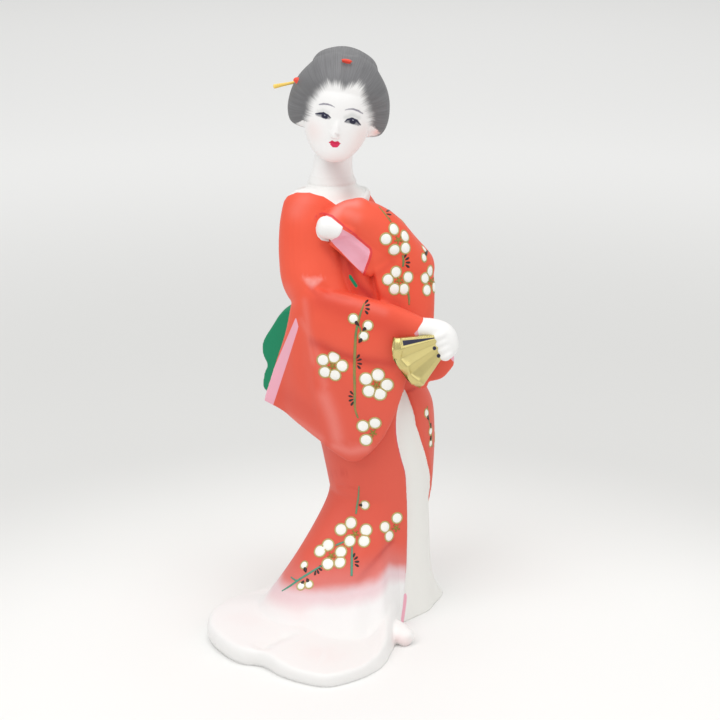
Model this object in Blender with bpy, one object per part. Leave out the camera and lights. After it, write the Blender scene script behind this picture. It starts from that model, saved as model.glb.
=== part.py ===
"""Hakata doll: a fired and painted clay woman in a kimono whose hem trails over the floor.

Everything is worked out in millimetres around an upright axis through the figure's feet, x to the
viewer's right, y away from the viewer, z up, and is moved to its place in metres at the end.
"""
import math

import bmesh
import bpy
from mathutils import Matrix, Vector
from mathutils.bvhtree import BVHTree
from mathutils.kdtree import KDTree

# the whole doll
TALL = 300.0                  # floor to the top of the hair
DRAWN_TALL = 299.7            # the same on the drawing that the sizes below come from
TO_ORIGIN = Vector((21.3, 28.0, 0.0))    # from the axis of the feet to the middle of the footprint
METRES = 0.001 * TALL / DRAWN_TALL
FACING = math.radians(-45)    # the way her body faces, her face looks at the viewer (-90)
CAST_DETAIL = 1.1             # fineness of the cast surface before it is thinned out
FIGURE_FACES = 9200           # triangles of the figure

# skirt
FEET = Vector((5.0, 0.0, 0.0))      # the axis that skirt and train spread from
KNEE_HEIGHT = 66.0
PANEL_FOOT = -73.5            # direction from the feet, in degrees, of the near panel's edge on the floor
PANEL = 2.2                   # how far the kimono's panels stand off the under-robe
RIM = 9.5                     # thickness of the padded hem of the train
# the hem on the floor, from the far side of the left lobe round the front to the panel's edge
TRAIN_HEM = ((-50, 0), (-65, -8), (-75, -17), (-82, -30), (-86, -44), (-84.5, -58), (-76.5, -73),
             (-67, -83), (-56, -86.5), (-46, -97), (-34, -105), (-22, -108.5), (-11, -103), (-2, -96),
             (5.5, -86), (10.5, -68), (13.5, -53), (16, -38))
# the under-robe's hem, on from the panel's edge round the right and the back
ROBE_HEM = ((16, -36), (26, -26), (33, -18), (37, -8), (42, 7), (36, 20), (24, 32), (5, 37),
            (-14, 34), (-30, 26), (-41, 15), (-50, 0))
# height, middle x, middle y, radius of the clothed legs and hips
LEGS = ((0, 5, 0, 30), (30, 5, 0, 28.5), (KNEE_HEIGHT, 5, 0, 27.4), (90, 3.2, 0.6, 30.3),
        (112, 0, 2, 32.5), (124, -3, 2, 30))
# the kimono's edges, between which the under-robe shows: height against direction from the feet
NEAR_EDGE = ((0, PANEL_FOOT), (12, -68), (31, -62), (55, -58.5), (79, -60), (90, -65), (102, -68),
             (112, -66), (119, -59), (127, -44))
FAR_EDGE = ((0, 52), (25, 34), (48, 12), (60, -2), (66, -12), (80, -28), (93, -36), (102, -41.5), (110, -45),
            (127, -43.5))


def through(stations, count):
    """Smooth curve through tuples of numbers, sampled at `count` places."""
    ends = [stations[0], *stations, stations[-1]]
    spans = len(stations) - 1
    samples = []
    for i in range(count):
        t = i * spans / (count - 1)
        k = min(int(t), spans - 1)
        u = t - k
        samples.append(tuple(
            0.5 * (2 * b + (c - a) * u + (2 * a - 5 * b + 4 * c - d) * u ** 2
                   + (3 * b - a - 3 * c + d) * u ** 3)
            for a, b, c, d in zip(*ends[k:k + 4])))
    return samples


def at(stations, x):
    """Value of a table of (x, value) pairs at x, eased between its rows."""
    if x <= stations[0][0]:
        return stations[0][1]
    for (x0, v0), (x1, v1) in zip(stations, stations[1:]):
        if x <= x1:
            t = (x - x0) / (x1 - x0)
            t = t * t * (3 - 2 * t)
            return v0 + (v1 - v0) * t
    return stations[-1][1]


def skin(rings):
    """Closed mesh over a stack of rings with the same number of points."""
    bm = bmesh.new()
    loops = []
    for ring in rings:
        verts = [bm.verts.new(p) for p in ring]
        loops.append([bm.edges.new((a, b)) for a, b in zip(verts, verts[1:] + verts[:1])])
    for lower, upper in zip(loops, loops[1:]):
        for a, b in zip(lower, upper):
            bm.faces.new((a.verts[0], a.verts[1], b.verts[1], b.verts[0]))
    for end in (loops[0], loops[-1]):
        bmesh.ops.contextual_create(bm, geom=end)
    bmesh.ops.recalc_face_normals(bm, faces=bm.faces)
    return bm


def stack(stations, turn=0.0, rows=24, points=40, square=1.0):
    """Form built of level sections: stations are (z, x, y, half width, half depth)."""
    rings = []
    for z, x, y, wide, deep in through(stations, rows):
        ring = []
        for k in range(points):
            a = math.tau * k / points
            c, s = math.cos(a), math.sin(a)
            c = math.copysign(abs(c) ** square, c) * wide
            s = math.copysign(abs(s) ** square, s) * deep
            ring.append(Vector((x + c * math.cos(turn) - s * math.sin(turn),
                                y + c * math.sin(turn) + s * math.cos(turn), z)))
        rings.append(ring)
    return skin(rings)


def limb(stations, rows=24, points=24):
    """Form that follows an arm, hand or foot.

    Stations are (x, y, z, radius seen from the front, radius in depth).
    """
    path = through(stations, rows)
    rings = []
    across = None
    for i, (x, y, z, wide, high) in enumerate(path):
        before, after = path[max(i - 1, 0)], path[min(i + 1, rows - 1)]
        along = (Vector(after[:3]) - Vector(before[:3])).normalized()
        if across is None:
            across = along.cross(Vector((0, 1, 0)))
        # carried on from the last ring, so that it never spins
        across = (across - along * across.dot(along)).normalized()
        up = across.cross(along)
        rings.append([Vector((x, y, z)) + across * wide * math.cos(math.tau * k / points)
                      + up * high * math.sin(math.tau * k / points) for k in range(points)])
    # the ends are rounded off
    for end, inner in ((0, 1), (-1, -2)):
        middle = sum(rings[end], Vector()) / points
        out = (middle - sum(rings[inner], Vector()) / points).normalized()
        size = sum((p - middle).length for p in rings[end]) / points
        cap = [[middle + (p - middle) * math.cos(a) ** 0.7 + out * size * 0.8 * math.sin(a)
                for p in rings[end]] for a in (0.4, 0.8, 1.1, 1.35)]
        rings = list(reversed(cap)) + rings if end == 0 else rings + cap
    return skin(rings)


def band(path, high, thick, lean, count=56):
    """Closed band round the neck: an upright flattened ring that leans outwards."""
    loop = path + path[:3]
    points = through(loop, count * (len(loop) - 1) // len(path) + 1)
    start = round((len(points) - 1) / (len(loop) - 1))
    points = [Vector(p) for p in points[start:start + count]]
    middle = sum(points, Vector()) / count
    bm = bmesh.new()
    rows = []
    for p in points:
        out = Vector((p.x - middle.x, p.y - middle.y, 0)).normalized()
        up = (Vector((0, 0, 1)) + out * lean).normalized()
        side = (out - up * out.dot(up)).normalized()
        rows.append([bm.verts.new(p + up * high * 0.5 * math.sin(a) + side * thick * 0.5 * math.cos(a))
                     for a in (math.tau * k / 12 for k in range(12))])
    for i in range(count):
        a, b = rows[i], rows[(i + 1) % count]
        for k in range(12):
            bm.faces.new((a[k], a[(k + 1) % 12], b[(k + 1) % 12], b[k]))
    bmesh.ops.recalc_face_normals(bm, faces=bm.faces)
    return bm


def hanging(stations, rows=26, points=36):
    """Sleeve that hangs from an arm.

    Stations are (top x, y, z, foot x, y, z, top thickness, foot thickness).
    """
    path = through(stations, rows)
    rings = []
    for i, s in enumerate(path):
        top, foot = Vector(s[0:3]), Vector(s[3:6])
        before, after = path[max(i - 1, 0)], path[min(i + 1, rows - 1)]
        along = Vector((after[0] - before[0] + after[3] - before[3],
                        after[1] - before[1] + after[4] - before[4], 0))
        out = along.normalized().cross(Vector((0, 0, 1)))
        ring = []
        for k in range(points):
            a = math.tau * k / points
            up = 0.5 + 0.5 * math.cos(a)
            thick = s[7] + (s[6] - s[7]) * up ** 1.5
            edge = abs(math.sin(a)) ** 0.6
            ring.append(foot + (top - foot) * up + out * math.copysign(thick * edge, math.sin(a)))
        rings.append(ring)
    return skin(rings)


def skirt(columns=160, rows=64):
    """Panels, under-robe and train: one profile for each direction from the feet."""
    def polar(points):
        return [((math.atan2(y - FEET.y, x - FEET.x) + math.tau) % math.tau,
                 math.hypot(x - FEET.x, y - FEET.y)) for x, y in points]
    train = [(math.degrees(a) - (0 if a > 1 else -360), r) for a, r in polar(through(TRAIN_HEM, 90))]
    robe = [(math.degrees(a) - (360 if a > 4 else 0), r) for a, r in polar(through(ROBE_HEM, 60))]
    profiles = []
    for k in range(columns):
        angle = PANEL_FOOT + 360.0 * k / columns
        heading = math.radians(angle)
        if angle < 179:
            hem = at(robe, angle)
            trailing = at(((120, 0), (179, 0.6)), angle)
        else:
            hem = at(train, angle)
            trailing = at(((179, 0.6), (195, 1), (262, 1), (286.5, 0)), angle)
        rim = RIM * at(((179, 0.75), (205, 1.15), (232, 1.0), (250, 0.75), (285, 0.6)), angle)
        # how far in the train's top starts to climb to the skirt, as a share of its width
        climb = at(((179, 0.62), (205, 0.65), (232, 0.64), (262, 0.62), (285, 0.9)), angle)
        # how hollow that slope is
        hollow = at(((215, 1), (245, 1.3)), angle)
        # how late a hem that doesn't trail starts to flare
        late = at(((-60, 2.2), (-25, 7), (60, 7), (100, 2.2)), angle if angle < 180 else angle - 360)
        profile = []
        for i in range(rows + 1):
            t = i / rows
            # straight fall of a hem that doesn't trail
            z_robe = KNEE_HEIGHT * t
            r_robe = LEGS[0][3] - 2.4 * t
            r_robe += (hem - r_robe) * (1 - t) ** late
            # rounded rim, flat top and rising slope of a hem that does
            if t < 0.2:
                a = math.pi * 0.92 * t / 0.2 - math.pi / 2
                r_train = hem - rim * 0.5 + rim * 0.5 * math.cos(0.75 * a)
                z_train = rim * 0.5 + rim * 0.5 * math.sin(a)
            else:
                s = (t - 0.2) / 0.8
                r_train = 27.4 + (hem - rim * 0.35 - 27.4) * (1 - s) ** hollow
                slope = max(0.0, (s - 1 + climb) / climb)
                z_train = rim + (KNEE_HEIGHT - rim) * slope ** 1.2
            r = r_robe + (r_train - r_robe) * trailing
            z = z_robe + (z_train - z_robe) * trailing
            profile.append((r, z))
        profiles.append((heading, angle, profile))
    near_edge = through(NEAR_EDGE, 60)
    far_edge = through(FAR_EDGE, 60)

    def inset(angle, z):
        """How far the under-robe lies behind the panels in this direction."""
        turn = angle if angle < 180 else angle - 360
        past_near = at(((-2.5, 0), (0, 1)), turn - at(near_edge, z))
        before_far = at(((-1, 1), (1.5, 0)), turn - at(far_edge, z))
        return PANEL * past_near * before_far

    rings = []
    for i in range(rows + 1):
        ring = []
        for heading, angle, profile in profiles:
            r, z = profile[i]
            r -= inset(angle, z)
            ring.append(FEET + Vector((r * math.cos(heading), r * math.sin(heading), z)))
        rings.append(ring)
    for z, x, y, radius in through(LEGS[2:], 26)[1:]:
        ring = []
        for heading, angle, profile in profiles:
            r = radius - inset(angle, z)
            ring.append(Vector((x + r * math.cos(heading), y + r * math.sin(heading), z)))
        rings.append(ring)
    return skin(rings)


# trunk: height, middle x and y, half width from arm to arm, half depth
TRUNK = ((104, 0, 2, 31, 29), (125, -3, 2, 30, 28), (145, -6, 2, 28, 26), (165, -9, 2, 27, 24),
         (185, -12, 1, 26, 22), (205, -16, 0, 26, 19), (218, -18.5, -1, 24, 17), (226, -20, -2, 19, 15),
         (231, -20.5, -2.5, 13, 12.5))
NECK = ((222, -20.6, -1, 14, 12.5), (230.5, -20.6, -2, 13.2, 12), (236, -20.6, -3, 11, 10.5),
        (243, -20, -4, 9.8, 10), (252, -19, -4, 9.8, 10), (262, -18, -3, 10, 11))

# sleeves and arms
NEAR_SLEEVE = ((-39, -13, 164, -56.5, -9, 116.5, 5, 2.5), (-36, -20, 180, -46, -13, 112, 9, 3.5),
               (-31, -27, 186, -38.5, -20, 108, 11, 4.5), (-25, -31, 184, -27.5, -28, 101.5, 11, 5),
               (-13, -33, 181, -19, -31, 95, 10.5, 5), (0, -34.5, 178, -8, -34, 91.5, 10, 5),
               (12, -35, 174.5, 5, -36, 104, 9, 4.5), (20, -35, 171, 13, -37, 122, 7.5, 3.5),
               (25.5, -35, 168.5, 17.5, -37, 138, 6, 2.5))
NEAR_ARM = ((-29, -10, 218, 17, 13), (-30, -12, 209, 17.5, 14), (-29.5, -15, 196, 18.2, 14),
            (-28, -19, 184, 17.5, 14), (-22, -25, 173, 13, 12))
CHEST = ((-16, -10, 212, 11, 11), (-14, -13, 200, 12, 11), (-9, -16, 186, 12, 11), (-2, -18, 172, 11, 11))
FAR_SLEEVE = ((28, -3, 188, 27.5, -21, 131, 5, 2.5), (25, -9, 195, 26, -25, 128, 9, 4),
              (14, -14, 210, 16, -26, 136, 11, 5), (3, -19, 220.5, 8, -27, 150, 11, 5),
              (-4, -22, 227, 3, -28, 178, 9, 4), (-10, -23.5, 227, 1, -28.5, 190, 7, 3))
# the inside of its mouth, round the fist
LINING = ((-18, -29.5, 213, -22, -28, 205, 3.5, 2.2), (-10, -29.5, 209.5, -14.5, -28, 198.5, 4.2, 2.4),
          (-2.5, -29, 203, -8, -28, 192, 4.2, 2.4), (1, -27.5, 199, -0.5, -27, 187.5, 3, 2))
FAR_CORNER = ((22, -23, 160, 27, -23, 131, 5, 2.5), (33, -23.5, 154, 36, -24, 133.5, 4.5, 2.2),
              (42, -24, 147, 42, -24, 140.5, 2.5, 1.5))
FAR_ARM = ((-10, 10, 209, 13, 13), (3.5, 8, 203.5, 12.5, 12.5), (13.5, 2, 193.5, 12.5, 12.5),
           (19.8, -5, 187, 13, 13), (14, -13, 194, 13, 13), (5, -18, 206, 13, 13),
           (-3, -21, 214, 11.5, 12), (-10, -23, 218, 9, 11), (-17, -26, 217.5, 6.2, 8.2))

# collar: the white band round the neck, from its highest point at the nape to the V in front
COLLAR = ((-34, 11, 223.5), (-22, 16.5, 224), (-9, 13, 223.5), (-3.5, 1.5, 223.8), (-6, -10, 221),
          (-13, -17, 219.5), (-23, -17.5, 221.5), (-32.5, -14.5, 222.5), (-38.5, -3, 223.5))
COLLAR_HIGH, COLLAR_THICK, COLLAR_LEAN = 9.0, 4.5, 0.3

# hands and foot
FAN_HAND = ((20, -34.5, 162.5, 5, 5.4), (28, -35, 163, 5.4, 5.4), (35.5, -35.5, 160, 6.2, 5.6),
            (38, -36, 154, 5.6, 5), (36, -36.5, 150, 4.2, 3.8))
RAISED_FIST = ((-12, -28.5, 212.3, 5, 5.5), (-17.5, -30, 213, 5.6, 6), (-23.5, -31, 214.3, 5.6, 5.8))
FOOT = ((4, -44, 5, 5, 7), (12, -53, 4.8, 5, 7.4), (17, -58.5, 4.2, 4.2, 5.4))

# head: in its own frame, z from between the ears to the crown, face towards -y
HEAD_MIDDLE = Vector((-17.1, -5.5, 268.6))
HEAD_ROLL = math.radians(9)
HEAD_BOW = math.radians(6)
# height, half width, front, back
FACE = ((-22.9, 3.4, -14.5, -7), (-21.5, 7.2, -17, -3), (-18, 11.4, -18, 3), (-12.6, 14.9, -18.4, 9),
        (-6, 16.7, -18.8, 13), (0, 17.4, -18.8, 15), (8, 17.4, -18.8, 16), (14, 16.4, -17, 15),
        (21, 12.5, -12, 10), (25, 6, -5, 4))
HAIR = ((-12.6, 18.5, 2, 13), (-11.2, 22.8, -1.5, 17), (-8, 25, -4, 21), (-2, 26, -8, 24),
        (6, 25.2, -12.5, 26), (13, 22.9, -16.8, 25), (19, 19.2, -16.5, 22), (25, 13.8, -11, 17),
        (29, 6, -4, 10))
NOSE = ((0, -17.6, 2, 1.2, 0.9), (0, -18.9, -4, 1.5, 1.2), (0, -19.3, -8, 2.0, 1.5))    # x, y, z, radii
BUN = ((8, 9, 8, 24), (13, 15, 2, 28), (19, 17, -2, 28), (25, 14.5, -4.5, 25), (28.6, 8.5, -1, 19),
       (30, 3, 4, 14))


def on_head(bm):
    bmesh.ops.transform(bm, verts=bm.verts, matrix=Matrix.Translation(HEAD_MIDDLE)
                        @ Matrix.Rotation(HEAD_ROLL, 4, "Y") @ Matrix.Rotation(HEAD_BOW, 4, "X"))
    return bm


def head_form(stations, rows=28, points=44):
    """Form of the head: stations are (height, half width, front, back) in its own frame."""
    rings = []
    for z, wide, front, back in through(stations, rows):
        middle = (front + back) / 2
        deep = (back - front) / 2
        around = [math.tau * k / points for k in range(points)]
        rings.append([Vector((wide * math.cos(a), middle + deep * math.sin(a), z)) for a in around])
    return on_head(skin(rings))


# drum bow of the sash on her back: distance behind the trunk's middle against height
SASH = ((150, -7, 2, 28.5, 26.5), (165, -9.5, 2, 28, 25), (181, -11.5, 1.5, 27, 24))
BOW_PROFILE = ((18, 168), (29, 165), (38.5, 154), (46.5, 143), (47, 135), (43, 128.5), (46, 122), (47, 113),
               (41, 111), (34, 114), (18, 120))
BOW_HALF_WIDTH = 27.0
TRUNK_MIDDLE = Vector((-8, 2, 0))


def drum_bow():
    back = Vector((-math.cos(FACING), -math.sin(FACING), 0))
    side = Vector((-back.y, back.x, 0))
    outline = through(BOW_PROFILE + BOW_PROFILE[:1], 45)[:-1]
    rings = []
    for step in range(-6, 7):
        a = step / 6
        shrink = 1 - 0.16 * abs(a) ** 6
        rings.append([TRUNK_MIDDLE + back * (30 + (d - 30) * shrink) + side * BOW_HALF_WIDTH * a
                      + Vector((0, 0, 138 + (z - 138) * shrink)) for d, z in outline])
    return skin(rings)


# folding fan, half open: the ribs meet in her hand
FAN_PIVOT = Vector((43.5, -35.5, 161.0))
FAN_TURN = math.radians(20)    # the free end stands nearer to the viewer
FAN_REACH = 9.0                # from the pivot, where the leaf starts in the hand
FAN_RIM = (34.8, 36.2, 36.3, 35.6, 35.2, 35.4, 34.0)   # and where each fold of it ends
FAN_SWEEP = (179.5, 233.5)     # directions of the two guards, in degrees
FAN_THICK = (3.2, 4.6)         # at the hand and at the rim
FOLD_DEPTH = 1.1               # of the folds in its front
FIT = 0.3                      # gap round a piece that is set into the figure


def fan(grow=0.0):
    """Leaf in broad folds; grown all round, it is the slot that the fan is glued into."""
    across = Vector((math.cos(FAN_TURN), math.sin(FAN_TURN), 0))
    front = Vector((math.sin(FAN_TURN), -math.cos(FAN_TURN), 0))
    bm = bmesh.new()
    rows = []
    for share, squeeze in ((0, 0), (0.35, 0), (0.7, 0), (0.96, 0), (1, 0.9)):
        thick = FAN_THICK[0] + (FAN_THICK[1] - FAN_THICK[0]) * share - squeeze
        row = []
        for side in (1, -1):
            line = []
            for k, rim in enumerate(FAN_RIM):
                part = k / (len(FAN_RIM) - 1)
                reach = FAN_REACH - grow + (rim - FAN_REACH + 2 * grow) * share
                angle = math.radians(FAN_SWEEP[0] + (FAN_SWEEP[1] - FAN_SWEEP[0]) * part)
                spot = FAN_PIVOT + across * reach * math.cos(angle) + Vector((0, 0, reach * math.sin(angle)))
                if grow and k in (0, len(FAN_RIM) - 1):
                    spot += (Vector((0, 0, 1)) if k == 0 else Vector((0.8, 0, -0.5))) * grow
                fold = 0.0 if side < 0 else FOLD_DEPTH * (0.15 + 0.85 * share)
                if not grow and k % 2 == 0:
                    fold = -fold
                line.append(bm.verts.new(spot + front * (side * (thick / 2 + grow) + fold)))
            row.append(line)
        rows.append(row)
    loops = []
    for upper, lower in rows:
        loops.append(upper + lower[::-1])
    for inner, outer in zip(loops, loops[1:]):
        count = len(inner)
        for k in range(count):
            bm.faces.new((inner[k], inner[(k + 1) % count], outer[(k + 1) % count], outer[k]))
    for loop in (loops[0], loops[-1]):
        half = len(loop) // 2
        for k in range(half - 1):
            bm.faces.new((loop[k], loop[k + 1], loop[-2 - k], loop[-1 - k]))
    bmesh.ops.recalc_face_normals(bm, faces=bm.faces)
    return bm


# fingers round the fan: knuckle and tip of the first and of the last
KNUCKLES = (Vector((36.5, -36.5, 162.0)), Vector((40.0, -36.5, 152.0)))
FINGERTIPS = (Vector((31.6, -40.6, 159.6)), Vector((35.2, -40.4, 149.4)))


def finger(k):
    knuckle = KNUCKLES[0].lerp(KNUCKLES[1], k / 3)
    tip = FINGERTIPS[0].lerp(FINGERTIPS[1], k / 3)
    bend = knuckle.lerp(tip, 0.55) + Vector((0.8, -1.5, 0.3))
    return limb(((*knuckle, 2.3, 2.3), (*bend, 2.1, 2.1), (*tip, 1.7, 1.7)), rows=9, points=12)


# yellow pin in the side of the hair, and the two red ornaments moulded on the hair
PIN_ENDS = (Vector((-34.0, 1.0, 283.2)), Vector((-49.2, -3.5, 280.6)))
PIN_RADIUS = 0.75
ORNAMENTS = ((Vector((-12.8, -17.7, 295.2)), 3.2, 0.9), (Vector((-38.2, -8.0, 284.4)), 1.7, 1.5))


def pin(grow=0.0):
    start, end = PIN_ENDS
    along = (end - start).normalized()
    start = start - along * grow
    r = PIN_RADIUS + grow
    return limb(((*start, r, r), (*start.lerp(end, 0.5), r, r), (*start.lerp(end, 0.8), r * 1.25, r),
                 (*end, r * 1.5, r)), rows=8, points=10)


def ornament(middle, half_length, half_height):
    bm = bmesh.new()
    bmesh.ops.create_uvsphere(bm, u_segments=16, v_segments=10, radius=1)
    bmesh.ops.transform(bm, verts=bm.verts, matrix=Matrix.Translation(middle)
                        @ Matrix.Rotation(HEAD_ROLL, 4, "Y")
                        @ Matrix.Diagonal((half_length, 1.4, half_height, 1)))
    return bm


# folds pressed into the clay, seen from the front: (x, z) from end to end, half width, depth (a ridge is
# negative)
FOLDS = (
    # elbow, down the sleeve, and behind that ridge
    (((-29.5, 180), (-28.5, 168), (-28.5, 145), (-27.5, 124), (-24, 104)), 3.2, -1.1),
    (((-36, 172), (-36.5, 150), (-33.5, 125)), 4.5, 0.9),
    # under the forearm, and the swag of the sleeve
    (((-27.5, 157), (-21, 151), (-11, 147), (2, 143.5), (16, 141.5)), 3.0, 1.8),
    (((-24, 140), (-12, 122), (0, 112), (9, 110)), 5.5, 0.8),
    # raised sleeve below its mouth, and the crook of the elbow
    (((0, 192), (9, 197.5), (19, 199)), 2.8, 0.9),
    (((-27, 186), (-18, 180), (-8, 178)), 2.0, 0.9),
    # hem swept to the train
    (((13, 46), (3, 36), (-9, 26), (-20, 20)), 3.6, 1.5),
    (((12, 58), (-2, 46), (-16, 33), (-30, 24)), 5.0, -0.8),
    # the mouth of the raised sleeve
    (((-19, 208), (-13.5, 204.5), (-8, 200), (-5, 195), (-4.5, 191)), 3.2, 1.2),
    # back of the knee
    (((-19, 71), (-12, 72), (-6, 71)), 2.0, 0.7),
)
# the fold between the two lobes of the train, seen from above: (x, y) from end to end
LOBE_FOLD = (((-56, -92), (-56.5, -84), (-54, -76), (-47, -68), (-38, -62)), 4.5, 2.4)


def press(obj, paths):
    """Push the surface in along each path, laid on it by a ray, with a soft round groove."""
    mesh = obj.data
    mesh.update()
    tree = BVHTree.FromPolygons([v.co for v in mesh.vertices], [p.vertices for p in mesh.polygons])
    index = KDTree(len(mesh.vertices))
    for v in mesh.vertices:
        index.insert(v.co, v.index)
    index.balance()
    normals = [v.normal.copy() for v in mesh.vertices]
    push = {}
    for points, half_width, depth, direction in paths:
        laid = []
        for point in through(points, 12 * len(points)):
            if direction.y:
                start = Vector((point[0], -TALL, point[1]))
            else:
                start = Vector((point[0], point[1], 2 * TALL))
            hit = tree.ray_cast(start, direction)[0]
            if hit is not None:
                laid.append(hit)
        near = {}
        for n, spot in enumerate(laid):
            taper = min(1.0, 4 * n / len(laid), 4 * (len(laid) - 1 - n) / len(laid))
            for co, i, away in index.find_range(spot, half_width * 2.6):
                strength = taper * math.exp(-(away / half_width) ** 2)
                near[i] = max(near.get(i, 0), strength)
        for i, strength in near.items():
            push[i] = push.get(i, 0) - depth * strength
    for i, amount in push.items():
        mesh.vertices[i].co += normals[i] * amount
    mesh.update()


def to_object(bm, name):
    mesh = bpy.data.meshes.new(name)
    bm.to_mesh(mesh)
    bm.free()
    obj = bpy.data.objects.new(name, mesh)
    bpy.context.collection.objects.link(obj)
    return obj


def apply_modifiers(obj):
    graph = bpy.context.evaluated_depsgraph_get()
    mesh = bpy.data.meshes.new_from_object(obj.evaluated_get(graph))
    obj.modifiers.clear()
    obj.data = mesh


def paint(obj, colour, roughness, metallic=0.0):
    material = bpy.data.materials.new(obj.name)
    material.use_nodes = True
    shader = material.node_tree.nodes["Principled BSDF"]
    shader.inputs["Base Color"].default_value = (*colour, 1)
    shader.inputs["Roughness"].default_value = roughness
    shader.inputs["Metallic"].default_value = metallic
    obj.data.materials.clear()
    obj.data.materials.append(material)


def place(obj):
    obj.data.transform(Matrix.Scale(METRES, 4) @ Matrix.Translation(TO_ORIGIN))


def cut(obj, cutter_form, name):
    """Take a form out of a piece, exactly, and drop the form."""
    cutter = to_object(cutter_form, name)
    boolean = obj.modifiers.new(name, "BOOLEAN")
    boolean.operation = "DIFFERENCE"
    boolean.solver = "EXACT"
    boolean.object = cutter
    apply_modifiers(obj)
    bpy.data.objects.remove(cutter)


def grind_underside(obj, height):
    for v in obj.data.vertices:
        if v.co.z < height:
            v.co.z = 0.0


def figure():
    trunk_turn = FACING + math.pi / 2
    forms = [skirt(), stack(TRUNK, turn=trunk_turn), stack(NECK, rows=12, points=28)]
    forms += [band(COLLAR, COLLAR_HIGH, COLLAR_THICK, COLLAR_LEAN)]
    forms += [hanging(NEAR_SLEEVE), limb(NEAR_ARM), hanging(FAR_SLEEVE), hanging(FAR_CORNER), limb(FAR_ARM)]
    forms += [limb(CHEST), hanging(LINING, rows=8)]
    forms += [limb(FAN_HAND), limb(RAISED_FIST), limb(FOOT), *(finger(k) for k in range(4))]
    forms += [head_form(FACE), on_head(limb(NOSE, rows=8, points=12)), head_form(HAIR), head_form(BUN)]
    forms += [ornament(*spec) for spec in ORNAMENTS]
    forms += [stack(SASH, turn=trunk_turn, rows=8), drum_bow()]
    joined = bmesh.new()
    for form in forms:
        mesh = bpy.data.meshes.new("form")
        form.to_mesh(mesh)
        form.free()
        joined.from_mesh(mesh)
        bpy.data.meshes.remove(mesh)
    obj = to_object(joined, "figure")
    remesh = obj.modifiers.new("cast", "REMESH")
    remesh.mode = "VOXEL"
    remesh.voxel_size = CAST_DETAIL
    smooth = obj.modifiers.new("slip", "SMOOTH")
    smooth.factor = 0.5
    smooth.iterations = 3
    apply_modifiers(obj)
    seen_front = Vector((0, 1, 0))
    seen_above = Vector((0, 0, -1))
    press(obj, [(*fold, seen_front) for fold in FOLDS] + [(*LOBE_FOLD, seen_above)])
    grind_underside(obj, 0.9)
    thin = obj.modifiers.new("thin", "DECIMATE")
    thin.ratio = FIGURE_FACES / (2 * len(obj.data.polygons))
    apply_modifiers(obj)
    grind_underside(obj, 0.3)
    cut(obj, fan(grow=FIT), "fan_slot")
    cut(obj, pin(grow=FIT), "pin_hole")
    return obj


def main():
    for obj in list(bpy.data.objects):
        bpy.data.objects.remove(obj)
    doll = figure()
    paint(doll, (0.87, 0.11, 0.05), 0.55)
    folding_fan = to_object(fan(), "folding_fan")
    paint(folding_fan, (0.76, 0.62, 0.22), 0.25, metallic=1.0)
    hairpin = to_object(pin(), "hairpin")
    paint(hairpin, (0.93, 0.66, 0.14), 0.4)
    for obj in (doll, folding_fan, hairpin):
        place(obj)


main()
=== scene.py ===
import math

import bmesh
import bpy
import numpy as np
from mathutils import Matrix, Vector
from mathutils.bvhtree import BVHTree


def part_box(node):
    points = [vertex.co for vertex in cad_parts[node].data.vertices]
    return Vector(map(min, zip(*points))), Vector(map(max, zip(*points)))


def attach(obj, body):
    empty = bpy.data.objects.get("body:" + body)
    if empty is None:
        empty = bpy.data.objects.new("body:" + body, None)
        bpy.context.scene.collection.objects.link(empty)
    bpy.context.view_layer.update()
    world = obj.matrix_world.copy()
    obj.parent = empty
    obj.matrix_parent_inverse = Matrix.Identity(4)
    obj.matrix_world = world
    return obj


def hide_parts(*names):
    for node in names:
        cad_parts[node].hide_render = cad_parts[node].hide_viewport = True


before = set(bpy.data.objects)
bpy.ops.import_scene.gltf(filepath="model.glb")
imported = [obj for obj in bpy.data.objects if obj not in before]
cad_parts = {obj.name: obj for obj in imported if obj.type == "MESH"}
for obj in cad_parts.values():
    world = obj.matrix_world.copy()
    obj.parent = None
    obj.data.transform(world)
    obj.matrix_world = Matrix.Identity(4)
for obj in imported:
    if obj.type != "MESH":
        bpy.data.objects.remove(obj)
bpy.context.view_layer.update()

# The viewpoint. A long lens looks slightly down on the doll from a little above her head. The
# brushwork below is laid out as a painter sees it from here, in a view of 720 by 720, and every
# stroke is then dropped on to the clay that lies under it. Sizes are in millimetres around an
# upright axis through the doll's feet: x to the viewer's right, y away, z up.
TALL = 300.0
DRAWN_TALL = 299.7
FEET_FROM_ORIGIN = Vector((21.3, 28.0, 0.0))
METRES = 0.001 * TALL / DRAWN_TALL
TO_FRAME = Matrix.Scale(METRES, 4) @ Matrix.Translation(FEET_FROM_ORIGIN)

EYE = Vector((-6.3, -900.0, 400.0))
LOOKS_DOWN = math.radians(16.34)
VIEW_SIZE = 720
VIEW_REACH = 1777.0           # distance of the view's plane, in its own pixels
SENSOR = 36.0
PIXEL = 0.54                  # what one of its pixels covers on the doll

camera_data = bpy.data.cameras.new("camera")
camera_data.sensor_width = SENSOR
camera_data.lens = SENSOR * VIEW_REACH / VIEW_SIZE
camera_data.clip_start = 0.01
camera_data.clip_end = 50
camera = bpy.data.objects.new("camera", camera_data)
camera.location = TO_FRAME @ EYE
camera.rotation_euler = (math.pi / 2 - LOOKS_DOWN, 0, 0)
bpy.context.collection.objects.link(camera)
bpy.context.scene.camera = camera


def sight(u, v):
    """Direction from the eye through a place in the view."""
    across = (u - VIEW_SIZE / 2) / VIEW_REACH
    up = (VIEW_SIZE / 2 - v) / VIEW_REACH
    return Vector((across, math.cos(LOOKS_DOWN) + up * math.sin(LOOKS_DOWN),
                   up * math.cos(LOOKS_DOWN) - math.sin(LOOKS_DOWN))).normalized()


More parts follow.
